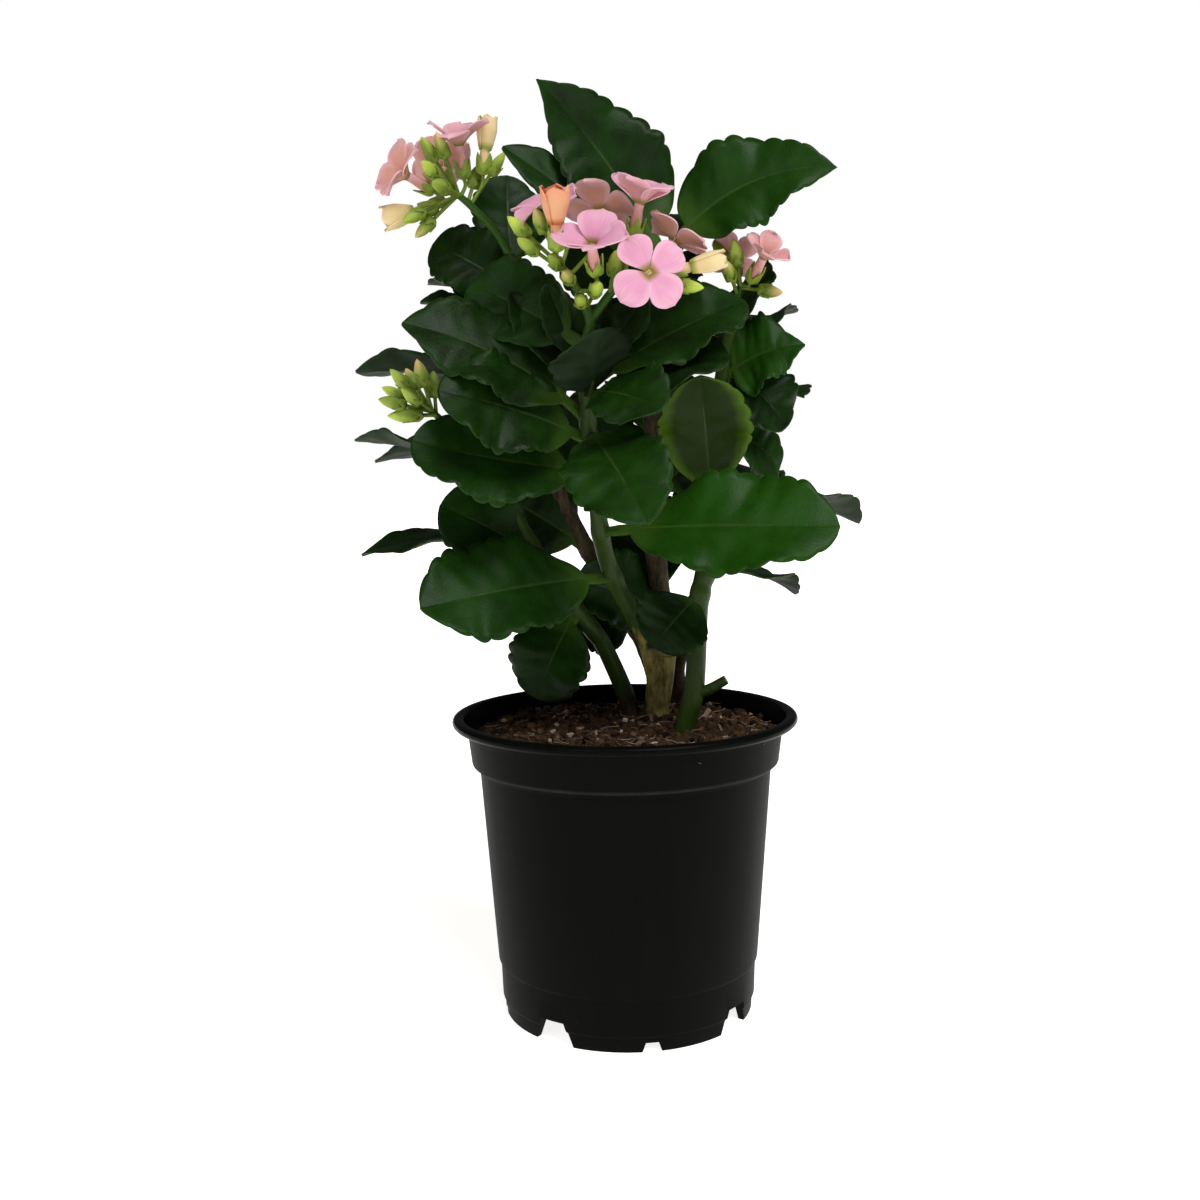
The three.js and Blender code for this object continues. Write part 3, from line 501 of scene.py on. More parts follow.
bpy.ops.object.shade_smooth_by_angle(angle=math.radians(45))

# Peat and coir: dull dark brown, dry on top, with crumbs from near black to rust and pale bits of bark.
earth, tree, shader, place = begun("peat_and_coir_mix")
own_tone = node(tree, "ShaderNodeAttribute", attribute_name="tone")
own_pale = node(tree, "ShaderNodeAttribute", attribute_name="pale")
# Clods of about 3 mm.
clods = node(
    tree,
    "ShaderNodeTexNoise",
    {"Vector": place.outputs["Object"], "Scale": 330.0, "Detail": 8.0, "Roughness": 0.75},
)
mixed = node(
    tree,
    "ShaderNodeMath",
    {0: own_tone.outputs["Fac"], 1: 0.45, 2: clods.outputs["Fac"]},
    operation="MULTIPLY_ADD",
)
share = node(
    tree, "ShaderNodeMapRange", {"Value": mixed.outputs[0], "From Min": 0.5, "From Max": 0.95}
)
brown = node(
    tree,
    "ShaderNodeMix",
    {0: share.outputs[0], 6: linear("#170f09"), 7: linear("#5f452e")},
    data_type="RGBA",
)
pale_bit = node(
    tree,
    "ShaderNodeMix",
    {0: own_pale.outputs["Fac"], 6: brown.outputs[2], 7: linear("#cdb39c")},
    data_type="RGBA",
)
tree.links.new(pale_bit.outputs[2], shader.inputs["Base Color"])
# Grit of about 0.5 mm.
grit = node(
    tree,
    "ShaderNodeTexNoise",
    {"Vector": place.outputs["Object"], "Scale": 1900.0, "Detail": 5.0, "Roughness": 0.8},
)
relief = node(
    tree,
    "ShaderNodeBump",
    {"Strength": 0.9, "Distance": 0.0005, "Height": grit.outputs["Fac"]},
)
tree.links.new(relief.outputs[0], shader.inputs["Normal"])
shader.inputs["Roughness"].default_value = 0.95
shader.inputs["Specular IOR Level"].default_value = 0.15
peat.data.materials.append(earth)
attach(peat, "root")
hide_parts("soil")


# The stems: five rooted shoots, woody and brown low down where they are old and cut back, green and
# fleshy above, a little swollen where each pair of leaves grows. Three keep the stub of a cut shoot.
STEMS = {
    "stem_a_front": {
        "path": [
            (11, 12, 80, 4),
            (11, 12, 94, 4),
            (11, 11, 104, 3.6),
            (7, 7, 119, 3),
            (-3, 2, 139, 2.8),
            (-7, -5, 155, 2.7),
            (-8, -10, 173, 2.6),
            (-10, -14, 185, 2.5),
            (-10, -18, 198, 2.3),
            (-10, -19, 212, 1.9),
        ],
        "stubs": [
            [
                (11, 12, 97, 4.2),
                (12, 11, 105, 4.4),
                (13, 10, 113, 4.2),
            ],
        ],
        "leaves": [
            dict(height=139, tip=(-60, -34, 134), width=35, face=(-1, -8, 5), arch=3),
            dict(height=154, tip=(63, -34, 156), width=36, face=(0, -8, 6), arch=6, bow=3),
            dict(height=173, tip=(-62, -28, 183), width=34, face=(0, -8, 6), arch=3, bow=-4),
            dict(height=184, tip=(6, -65, 159), width=29, face=(-3, -6, 8), arch=7),
            dict(height=188, tip=(-64, -26, 217), width=32, face=(1, -7, 6), arch=4, bow=3, point=0.5),
            dict(height=182, tip=(-53, -36, 197), width=32, face=(0, -8, 5), arch=3),
            dict(height=197, tip=(-33, -14, 227), width=14, face=(5, -7, 5), arch=-2),
            dict(height=195, tip=(-8, -37, 213), width=25, face=(0, -6, 7), arch=-2),
            dict(height=196, tip=(11, -46, 190), width=23, face=(1, -8, 4), arch=3),
            dict(height=198, tip=(38, -14, 223), width=31, face=(-3, -6, 6), arch=3),
            dict(height=190, tip=(32, -26, 206), width=28, face=(0, -5, 7), arch=4),
            dict(height=203, tip=(-22, -17, 229), width=12, face=(4, -8, 1), arch=-1),
            dict(height=203, tip=(8, -17, 225), width=13, face=(-4, -7, 2), arch=-1),
            dict(height=210, tip=(-45, -6, 231), width=27, face=(0, -9, 3), arch=2),
        ],
    },
    "stem_b_middle": {
        "path": [
            (19, 30, 80, 3.6),
            (19, 30, 94, 3.6),
            (13, 24, 130, 3.4),
            (10, 18, 179, 3),
            (14, 13, 217, 2.5),
            (16, 11, 243, 2),
        ],
        "stubs": [
            [
                (18, 29, 98, 2.6),
                (19, 25, 107, 2.2),
                (20, 23, 111, 2),
            ],
        ],
        "leaves": [
            dict(height=238, tip=(-24, -2, 292), width=35, face=(2, -9, 2), arch=-4, bow=5, point=1),
            dict(height=241, tip=(68, 1, 265), width=32, face=(-2, -8, 4), arch=4, bow=-7, point=0.9),
            dict(height=231, tip=(-35, -2, 272), width=18, face=(1, -6, 6), arch=3),
            dict(height=128, tip=(7, 52, 152), width=25, face=(0, -9, 3), arch=3),
            dict(height=124, tip=(-15, 15, 137), width=27, face=(-2, -7, 5), arch=4),
            dict(height=152, tip=(-6, 52, 172), width=28, face=(0, -8, 4), arch=5),
            dict(height=146, tip=(31, 43, 151), width=30, face=(0, -8, 3), arch=4),
            dict(height=163, tip=(36, 19, 187), width=26, face=(-2, -8, 3), arch=3),
            dict(height=179, tip=(12, 65, 205), width=30, face=(0, -6, 7), arch=6),
            dict(height=178, tip=(-22, 2, 187), width=28, face=(-1, -8, 3), arch=3),
            dict(height=200, tip=(-18, 54, 228), width=28, face=(0, -5, 8), arch=5),
            dict(height=203, tip=(34, 56, 228), width=27, face=(-1, -4, 8), arch=5),
            dict(height=217, tip=(14, 56, 248), width=29, face=(0, -6, 8), arch=4),
            dict(height=236, tip=(-17, 32, 243), width=28, face=(0, -9, 3), arch=3),
            dict(height=238, tip=(44, 36, 264), width=27, face=(-4, -6, 6), arch=3),
        ],
    },
    "stem_c_left": {
        "path": [
            (2, 16, 80, 3),
            (2, 16, 94, 3),
            (-6, 12, 115, 2.8),
            (-11, 9, 123, 2.6),
            (-26, 5, 145, 2.3),
            (-38, 2, 167, 2),
            (-49, -2, 182, 1.8),
        ],
        "stubs": [],
        "leaves": [
            dict(height=172, tip=(-85, 8, 184), width=23, face=(0, 1, 9), arch=3, point=0.5),
            dict(height=145, tip=(-57, -4, 163), width=27, face=(1, -8, 4), arch=3),
            dict(height=150, tip=(-84, 8, 147), width=23, face=(-1, -2, 9), arch=4, point=0.5),
            dict(height=122, tip=(-34, 18, 122), width=27, face=(-1, -8, 4), arch=3),
            dict(height=128, tip=(-28, 2, 100), width=27, face=(-3, -8, 2), arch=3),
        ],
    },
    "stem_d_right": {
        "path": [
            (19, -5, 80, 3.3),
            (19, -5, 92, 3.3),
            (22, -5, 104, 3.2),
            (24, -3, 132, 3),
            (27, -2, 144, 2.9),
            (29, 2, 163, 2.7),
            (31, 6, 185, 2.4),
            (33, 8, 203, 2.2),
            (37, 10, 223, 1.8),
        ],
        "stubs": [
            [
                (22, -5, 102, 1.9),
                (27, -6, 104, 1.7),
                (32, -7, 107, 1.5),
            ],
        ],
        "leaves": [
            dict(height=160, tip=(24, -16, 201), width=28, face=(-1, -9, 1), arch=-4),
            dict(height=203, tip=(52, 3, 185), width=25, face=(3, -6, 5), arch=4),
            dict(height=185, tip=(51, 12, 172), width=25, face=(0, -6, 6), arch=4),
            dict(height=201, tip=(58, 0, 211), width=30, face=(-2, -7, 6), arch=4, point=1),
            dict(height=204, tip=(49, 18, 200), width=23, face=(0, 3, 9), arch=3),
            dict(height=216, tip=(47, 18, 240), width=20, face=(-8, -4, 2), arch=-2),
            dict(height=163, tip=(84, 46, 153), width=26, face=(1, 2, 9), arch=5, point=0.5),
            dict(height=140, tip=(58, 20, 131), width=23, face=(1, -1, 9), arch=4, point=0.6),
            dict(height=134, tip=(9, -10, 118), width=24, face=(-2, -9, 3), arch=2),
            dict(height=187, tip=(60, 50, 200), width=27, face=(0, -4, 8), arch=5),
            dict(height=150, tip=(48, 44, 172), width=27, face=(-1, -5, 7), arch=4),
            dict(height=205, tip=(56, 46, 225), width=26, face=(-3, -3, 9), arch=4),
        ],
    },
    "stem_e_left": {
        "path": [
            (13, 37, 80, 3),
            (13, 37, 94, 3),
            (6, 36, 116, 2.9),
            (-7, 33, 138, 2.8),
            (-20, 28, 165, 2.6),
            (-27, 26, 195, 2.4),
            (-29, 24, 219, 2.2),
            (-35, 19, 243, 1.8),
        ],
        "stubs": [],
        "leaves": [
            dict(height=238, tip=(-36, 34, 271), width=24, face=(3, -9, 2), arch=-2),
            dict(height=230, tip=(-60, 23, 247), width=25, face=(0, -8, 4), arch=3),
            dict(height=217, tip=(-64, 18, 228), width=20, face=(0, -3, 9), arch=3),
            dict(height=198, tip=(-85, 14, 206), width=26, face=(0, 3, 9), arch=4, point=0.4),
            dict(height=178, tip=(-83, 34, 177), width=24, face=(0, 1, 9), arch=4, point=0.4),
            dict(height=146, tip=(-44, 24, 168), width=30, face=(0, -8, 3), arch=3),
            dict(height=160, tip=(-38, 62, 186), width=28, face=(0, -5, 8), arch=5),
            dict(height=190, tip=(-52, 58, 212), width=28, face=(1, -5, 8), arch=4),
            dict(height=219, tip=(-62, 48, 238), width=27, face=(2, -3, 8), arch=4),
            dict(height=238, tip=(-30, 56, 262), width=25, face=(0, -6, 7), arch=3),
            dict(height=118, tip=(-17, 27, 124), width=24, face=(0, -8, 4), arch=3),
        ],
    },
}
# Up to where each stem is brown, and how sharply it turns green.
WOODY_TO = {
    "stem_a_front": (121, 8),
    "stem_b_middle": (236, 20),
    "stem_c_left": (98, 12),
    "stem_d_right": (90, 8),
    "stem_e_left": (196, 30),
}
# Where the dark patch of painted shade for the hollow on the front trunk sits, in mm.
TRUNK_KNOT = Vector((9.2, 5, 117))


def lerp(a, b, share):
    """The value at a share of the way from a to b."""
    return a + (b - a) * share


def along_path(path, share):
    """The middle and radius of a smooth round stalk through (x, y, z, radius) points."""
    place = min(max(share, 0), 1) * (len(path) - 1)
    k = min(int(place), len(path) - 2)
    t = place - k
    p1, p2 = Vector(path[k]), Vector(path[k + 1])
    p0 = Vector(path[k - 1]) if k else p1 * 2 - p2
    p3 = Vector(path[k + 2]) if k + 2 < len(path) else p2 * 2 - p1
    bend, skew = 2 * p0 - 5 * p1 + 4 * p2 - p3, 3 * p1 - p0 - 3 * p2 + p3
    spot = 0.5 * (2 * p1 + (p2 - p0) * t + bend * t**2 + skew * t**3)
    return Vector(spot[:3]), spot[3]


def tube(name, columns, rows, path, swell=None):
    """A closed round stalk along a path, flat at both ends; swell(spot, turn) may change its radius."""

    def place(across, along):
        ring = round(along * (rows + 2))
        share = min(max(ring - 1, 0) / rows, 1)
        middle, radius = along_path(path, share)
        if ring in (0, rows + 2):
            return middle
        ahead = along_path(path, share + 0.01)[0] - along_path(path, share - 0.01)[0]
        across_way = Vector((0, 0, 1)).rotation_difference(ahead.normalized())
        turn = 2 * math.pi * across
        if swell:
            radius *= swell(middle, turn)
        return middle + across_way @ Vector((radius * math.cos(turn), radius * math.sin(turn), 0))

    return formed(name, columns, rows + 2, place)


def stem_point(path, height):
    """The point of a stem's middle line at a height."""
    for low, high in zip(path, path[1:]):
        if high[2] >= height:
            return Vector(low[:3]).lerp(Vector(high[:3]), (height - low[2]) / (high[2] - low[2]))


# Living stem: a thin satin skin over green flesh, faintly ribbed, with brown cork creeping up from below;
# the front trunk's bark is tan, the sawn end of each stub is pale, and a dark patch of painted shade stands
# for a hollow on the front trunk.
stem_skin, tree, shader, place = begun("succulent_stem_skin")
wood = node(tree, "ShaderNodeAttribute", attribute_name="wood")
cut = node(tree, "ShaderNodeAttribute", attribute_name="cut")
tan = node(tree, "ShaderNodeAttribute", attribute_name="tan")
knot = node(tree, "ShaderNodeAttribute", attribute_name="knot")
# Cork flecks of about 2 mm, drawn out along the stem.
stretch = node(
    tree, "ShaderNodeMapping", {"Vector": place.outputs["Object"], "Scale": (1.0, 1.0, 0.3)}
)
fleck = node(
    tree,
    "ShaderNodeTexNoise",
    {"Vector": stretch.outputs[0], "Scale": 560.0, "Detail": 6.0, "Roughness": 0.65},
)
green = node(
    tree,
    "ShaderNodeMix",
    {0: fleck.outputs["Fac"], 6: linear("#172a0a"), 7: linear("#394f1a")},
    data_type="RGBA",
)
fleck_share = node(
    tree,
    "ShaderNodeMapRange",
    {"Value": fleck.outputs["Fac"], "From Min": 0.35, "From Max": 0.7},
)
old_bark = node(
    tree,
    "ShaderNodeMix",
    {0: fleck_share.outputs[0], 6: linear("#241b11"), 7: linear("#514530")},
    data_type="RGBA",
)
tan_bark = node(
    tree,
    "ShaderNodeMix",
    {0: fleck_share.outputs[0], 6: linear("#4a431c"), 7: linear("#9c8f52")},
    data_type="RGBA",
)
bark = node(
    tree,
    "ShaderNodeMix",
    {0: tan.outputs["Fac"], 6: old_bark.outputs[2], 7: tan_bark.outputs[2]},
    data_type="RGBA",
)
blotch = node(
    tree,
    "ShaderNodeMath",
    {0: fleck.outputs["Fac"], 1: 0.5, 2: wood.outputs["Fac"]},
    operation="MULTIPLY_ADD",
)
corky = node(
    tree, "ShaderNodeMapRange", {"Value": blotch.outputs[0], "From Min": 0.5, "From Max": 0.95}
)
skin = node(
    tree,
    "ShaderNodeMix",
    {0: corky.outputs[0], 6: green.outputs[2], 7: bark.outputs[2]},
    data_type="RGBA",
)
with_cut = node(
    tree,
    "ShaderNodeMix",
    {0: cut.outputs["Fac"], 6: skin.outputs[2], 7: linear("#a8946a")},
    data_type="RGBA",
)
# Painted shade: a dark patch where a shed side shoot left a hollow on the front trunk; the hollow itself is
# not modelled.
with_painted_hollow_shade = node(
    tree,
    "ShaderNodeMix",
    {0: knot.outputs["Fac"], 6: with_cut.outputs[2], 7: linear("#140f09")},
    data_type="RGBA",
)
tree.links.new(with_painted_hollow_shade.outputs[2], shader.inputs["Base Color"])
shine = node(
    tree,
    "ShaderNodeMapRange",
    {"Value": corky.outputs[0], "To Min": 0.38, "To Max": 0.7},
)
tree.links.new(shine.outputs[0], shader.inputs["Roughness"])
relief = node(
    tree,
    "ShaderNodeBump",
    {"Strength": 0.6, "Distance": 0.0003, "Height": fleck.outputs["Fac"]},
)
tree.links.new(relief.outputs[0], shader.inputs["Normal"])
shader.inputs["IOR"].default_value = 1.42
shader.inputs["Specular IOR Level"].default_value = 0.22

for stem_name, stem in STEMS.items():
    top, soft = WOODY_TO[stem_name]
    knots = [leaf["height"] for leaf in stem["leaves"]]

    def swollen(middle, turn):
        knot = max(math.exp(-(((middle.z - z) / 2.4) ** 2)) for z in knots)
        old = min(max((top - middle.z) / soft, 0), 1)
        gnarl = 0.12 * old * noise.noise(Vector((math.cos(turn), math.sin(turn), middle.z * 0.22)) * 2)
        return 1 + 0.16 * knot + 0.03 * math.cos(5 * turn) + gnarl

    def woodiness(spot):
        return min(max((top - spot.z) / soft + 0.5, 0), 1)

    # Painted shade of that hollow: full within 1.6 mm of the spot, gone by 2.6 mm.
    def painted_hollow_shade(spot):
        return min(max(2.6 - (spot - TRUNK_KNOT).length, 0), 1)

    bark_tone = 1.0 if stem_name == "stem_a_front" else 0.0

    trunk = tube("trunk", 20, 12 * len(stem["path"]), stem["path"], swollen)
    marked(trunk, wood=woodiness, cut=0.0, tan=bark_tone, knot=painted_hollow_shade)
    parts = [trunk]
    for path in stem["stubs"]:
        end = Vector(path[-1][:3])
        stub = tube("stub", 20, 12, path, lambda middle, turn: 1 + 0.03 * math.cos(5 * turn))
        reach = path[-1][3] * 0.82

        def sawn(spot, end=end, reach=reach):
            return 1.0 if (spot - end).length < reach else 0.0

        parts.append(marked(stub, wood=woodiness, cut=sawn, tan=bark_tone, knot=0.0))
    stalks = joined(stem_name.replace("stem", "stalk"), parts)
    bpy.ops.object.shade_smooth_by_angle(angle=math.radians(50))
    stalks.data.materials.append(stem_skin)
    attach(stalks, "root")
    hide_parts(stem_name)


# The leaves: thick waxy blades in opposite pairs, each folded a little along its midrib, with a scalloped
# edge and a short fleshy stalk that runs on under the blade as the midrib.
LEAF_THICKNESS = 1.0
STALK_HALF_WIDTH = 2.1
SMALL_LEAF_WIDTH = 28.5
SCALLOP_DEPTH = 0.085
BLADE_COLUMNS = 16
ROWS_A_STEP = 6
MIDRIB_RINGS = 26


def leaf_row(i, rows, point):
    """How far along the leaf row i is, the blade's share of its full width, and what is left of the stalk."""
    if i <= 2:
        return 0.08 * i, 0, 1
    share = min((i - 2) / (rows - 2), 1)
    base, tip = lerp(0.9, 0.6, point), lerp(0.5, 1.05, point)
    widest = base / (base + tip)
    peak = widest**base * (1 - widest) ** tip
    crown = abs(math.sin(0.75 * math.pi * i)) ** 0.8
    ramp = min(max((i - 4) / 3, 0), 1)
    outline = share**base * (1 - share) ** tip / peak
    return 0.16 + 0.84 * share, outline * (1 - SCALLOP_DEPTH * ramp * (1 - crown)), 1 - share


def leaf_frame(path, leaf):
    """A function that puts (row, sideways, upwards) of a leaf in its place."""
    root = stem_point(path, leaf["height"])
    chord = Vector(leaf["tip"]) - root
    length = chord.length
    ahead = chord / length
    face = Vector(leaf["face"]).normalized()
    above = (face - ahead * face.dot(ahead)).normalized()
    aside = ahead.cross(above)
    rows = 12 if leaf["width"] < SMALL_LEAF_WIDTH else 16
    arch, bow, point = leaf["arch"], leaf.get("bow", 0), leaf.get("point", 0.2)

    def at(i, sideways, upwards):
        along = leaf_row(i, rows, point)[0]
        hump, slope = 4 * along * (1 - along), 4 * (1 - 2 * along) / length
        normal = (above - ahead * slope * arch).normalized()
        across = (aside - ahead * slope * bow).normalized()
        middle = root + chord * along + above * arch * hump + aside * bow * hump
        return middle + across * sideways + normal * upwards

    return at, rows, point


def blade_of(path, leaf, number):
    """The leaf's blade as a single sheet, before it gets its thickness."""
    at, rows, point = leaf_frame(path, leaf)
    width, phase = leaf["width"], number * 1.7

    def place(across, along):
        i = along * rows
        t = 2 * across - 1
        t = math.copysign(abs(t) ** 1.3, t)
        _, spread, stalk = leaf_row(i, rows, point)
        reach = width / 2 * spread + STALK_HALF_WIDTH * stalk * (0.7 + 0.3 * min(i, 1))
        lift = 0.16 * width / 2 * spread * abs(t) ** 1.35
        lift += 0.08 * width * spread * math.sin(0.95 * i + phase + t) * abs(t) ** 1.6
        lift += 0.014 * width * spread * math.sin(2.6 * i + 3 * phase + 2 * t) * abs(t) ** 3
        groove = 0.35 * math.exp(-((t / 0.07) ** 2)) * spread
        quilt = 0.22 * math.cos(math.pi * (i - 1.6 * abs(t))) * spread * math.sin(math.pi * abs(t))
        return at(i, t * reach, lift - groove + quilt)

    def body(across, along):
        return 1 - 0.75 * abs(2 * across - 1) ** 6

    return formed("blade", BLADE_COLUMNS, rows * ROWS_A_STEP, place, closed=False, body=body)


def midrib_of(path, leaf):
    """The leaf's stalk and the midrib that it becomes, as a tapering rod under the blade."""
    at, rows, point = leaf_frame(path, leaf)
    scale = 0.75 + 0.25 * min(leaf["width"] / 30, 1)

    def place(across, along):
        ring = round(along * MIDRIB_RINGS)
        share = min(max(ring - 1, 0) / (MIDRIB_RINGS - 2), 1)
        i = share * rows * 0.88
        radius = scale * lerp(1.55, 0.9, min(i / 3, 1)) * (1 - 0.72 * share)
        radius = 0 if ring in (0, MIDRIB_RINGS) else radius
        turn, sunk = 2 * math.pi * across, 0.45 * scale * (1 - share)
        return at(i, 1.15 * radius * math.cos(turn), 0.8 * radius * math.sin(turn) - sunk)

    return formed("midrib", 10, MIDRIB_RINGS, place)


# Upper side of a leaf: deep green under a clear wax, mottled in patches of about 8 mm, with a paler
# midrib, faint side veins that run forwards to the scallops, and a pale foot.
leaf_face, tree, shader, place = begun("leaf_upper_side_waxed")
on_leaf = node(tree, "ShaderNodeSeparateXYZ", {0: place.outputs["UV"]})
own_tone = node(tree, "ShaderNodeAttribute", attribute_name="tone")
own_youth = node(tree, "ShaderNodeAttribute", attribute_name="youth")
aside = node(tree, "ShaderNodeMath", {0: on_leaf.outputs["X"], 1: 0.5}, operation="SUBTRACT")
from_rib = node(tree, "ShaderNodeMath", {0: aside.outputs[0]}, operation="ABSOLUTE")
patch = node(
    tree,
    "ShaderNodeTexNoise",
    {"Vector": place.outputs["Object"], "Scale": 120.0, "Detail": 5.0, "Roughness": 0.6},
)
cells = node(
    tree,
    "ShaderNodeTexNoise",
    {"Vector": place.outputs["Object"], "Scale": 1500.0, "Detail": 3.0, "Roughness": 0.6},
)
toned = node(
    tree,
    "ShaderNodeMath",
    {0: own_tone.outputs["Fac"], 1: 0.7, 2: patch.outputs["Fac"]},
    operation="MULTIPLY_ADD",
)
share = node(
    tree, "ShaderNodeMapRange", {"Value": toned.outputs[0], "From Min": 0.35, "From Max": 1.25}
)
deep = node(
    tree,
    "ShaderNodeMix",
    {0: share.outputs[0], 6: linear("#091405"), 7: linear("#1b4306")},
    data_type="RGBA",
)
# The young leaf is olive, and yellow green towards its edge.
outer = node(
    tree,
    "ShaderNodeMapRange",
    {"Value": from_rib.outputs[0], "From Min": 0.36, "From Max": 0.5},
)
olive = node(
    tree,
    "ShaderNodeMix",
    {0: outer.outputs[0], 6: linear("#1d3007"), 7: linear("#456210")},
    data_type="RGBA",
)
young = node(
    tree,
    "ShaderNodeMix",
    {0: own_youth.outputs["Fac"], 6: deep.outputs[2], 7: olive.outputs[2]},
    data_type="RGBA",
)
# Side veins: one to every eighth of the leaf, about 0.75 mm wide, leaning forwards from the midrib.
lean = node(
    tree,
    "ShaderNodeMath",
    {0: from_rib.outputs[0], 1: -0.42, 2: on_leaf.outputs["Y"]},
    operation="MULTIPLY_ADD",
)
step = node(tree, "ShaderNodeMath", {0: lean.outputs[0], 1: 8.0}, operation="MULTIPLY")
to_vein = node(tree, "ShaderNodeMath", {0: step.outputs[0], 1: 0.5}, operation="PINGPONG")
vein = node(
    tree,
    "ShaderNodeMapRange",
    {"Value": to_vein.outputs[0], "From Min": 0.05, "From Max": 0.0, "To Max": 0.12},
)
veined = node(
    tree,
    "ShaderNodeMix",
    {0: vein.outputs[0], 6: young.outputs[2], 7: linear("#2a451b")},
    data_type="RGBA",
)
rib = node(
    tree,
    "ShaderNodeMapRange",
    {"Value": from_rib.outputs[0], "From Min": 0.045, "From Max": 0.012, "To Max": 1.0},
)
rib_left = node(
    tree,
    "ShaderNodeMapRange",
    {"Value": on_leaf.outputs["Y"], "From Min": 0.15, "From Max": 0.75, "To Min": 0.6, "To Max": 0.05},
)
rib_share = node(
    tree, "ShaderNodeMath", {0: rib.outputs[0], 1: rib_left.outputs[0]}, operation="MULTIPLY"
)
ribbed = node(
    tree,
    "ShaderNodeMix",
    {0: rib_share.outputs[0], 6: veined.outputs[2], 7: linear("#3f5a26")},
    data_type="RGBA",
)
foot = node(
    tree,
    "ShaderNodeMapRange",
    {"Value": on_leaf.outputs["Y"], "From Min": 0.3, "From Max": 0.1, "To Max": 0.75},
)
footed = node(
    tree,
    "ShaderNodeMix",
    {0: foot.outputs[0], 6: ribbed.outputs[2], 7: linear("#42601f")},
    data_type="RGBA",
)
rim = node(
    tree,
    "ShaderNodeMapRange",
    {"Value": from_rib.outputs[0], "From Min": 0.485, "From Max": 0.5, "To Max": 0.5},
)
rimmed = node(
    tree,
    "ShaderNodeMix",
    {0: rim.outputs[0], 6: footed.outputs[2], 7: linear("#2a4518")},
    data_type="RGBA",
)
tree.links.new(rimmed.outputs[2], shader.inputs["Base Color"])
waxy = node(
    tree,
    "ShaderNodeMapRange",
    {"Value": patch.outputs["Fac"], "From Min": 0.3, "From Max": 0.7, "To Min": 0.34, "To Max": 0.48},
)
tree.links.new(waxy.outputs[0], shader.inputs["Roughness"])
heights = node(
    tree,
    "ShaderNodeMath",
    {0: vein.outputs[0], 1: -2.0, 2: cells.outputs["Fac"]},
    operation="MULTIPLY_ADD",
)
relief = node(
    tree,
    "ShaderNodeBump",
    {"Strength": 0.35, "Distance": 0.0003, "Height": heights.outputs[0]},
)
tree.links.new(relief.outputs[0], shader.inputs["Normal"])
shader.inputs["IOR"].default_value = 1.45
shader.inputs["Specular IOR Level"].default_value = 0.14

# Underside of a leaf: grey green and dull, without the wax.
leaf_back, tree, shader, place = begun("leaf_underside_matt")
own_tone = node(tree, "ShaderNodeAttribute", attribute_name="tone")
patch = node(
    tree,
    "ShaderNodeTexNoise",
    {"Vector": place.outputs["Object"], "Scale": 150.0, "Detail": 6.0, "Roughness": 0.65},
)
toned = node(
    tree,
    "ShaderNodeMath",
    {0: own_tone.outputs["Fac"], 1: 0.5, 2: patch.outputs["Fac"]},
    operation="MULTIPLY_ADD",
)
share = node(
    tree, "ShaderNodeMapRange", {"Value": toned.outputs[0], "From Min": 0.3, "From Max": 1.2}
)
grey_green = node(
    tree,
    "ShaderNodeMix",
    {0: share.outputs[0], 6: linear("#131f10"), 7: linear("#2b3d25")},
    data_type="RGBA",
)
tree.links.new(grey_green.outputs[2], shader.inputs["Base Color"])
relief = node(
    tree,
    "ShaderNodeBump",
    {"Strength": 0.3, "Distance": 0.0003, "Height": patch.outputs["Fac"]},
)
tree.links.new(relief.outputs[0], shader.inputs["Normal"])
shader.inputs["Roughness"].default_value = 0.6
shader.inputs["IOR"].default_value = 1.42
shader.inputs["Specular IOR Level"].default_value = 0.12

# Stalk and midrib of a leaf: satin green flesh, lighter in patches of about 4 mm.
leaf_flesh, tree, shader, place = begun("leaf_stalk_flesh")
flush = node(
    tree,
    "ShaderNodeTexNoise",
    {"Vector": place.outputs["Object"], "Scale": 260.0, "Detail": 4.0, "Roughness": 0.6},
)
fleshy = node(
    tree,
    "ShaderNodeMix",
    {0: flush.outputs["Fac"], 6: linear("#1b2e0e"), 7: linear("#3d5220")},
    data_type="RGBA",
)
tree.links.new(fleshy.outputs[2], shader.inputs["Base Color"])
relief = node(
    tree,
    "ShaderNodeBump",
    {"Strength": 0.3, "Distance": 0.0002, "Height": flush.outputs["Fac"]},
)
tree.links.new(relief.outputs[0], shader.inputs["Normal"])
shader.inputs["Roughness"].default_value = 0.42
shader.inputs["IOR"].default_value = 1.42
shader.inputs["Specular IOR Level"].default_value = 0.35

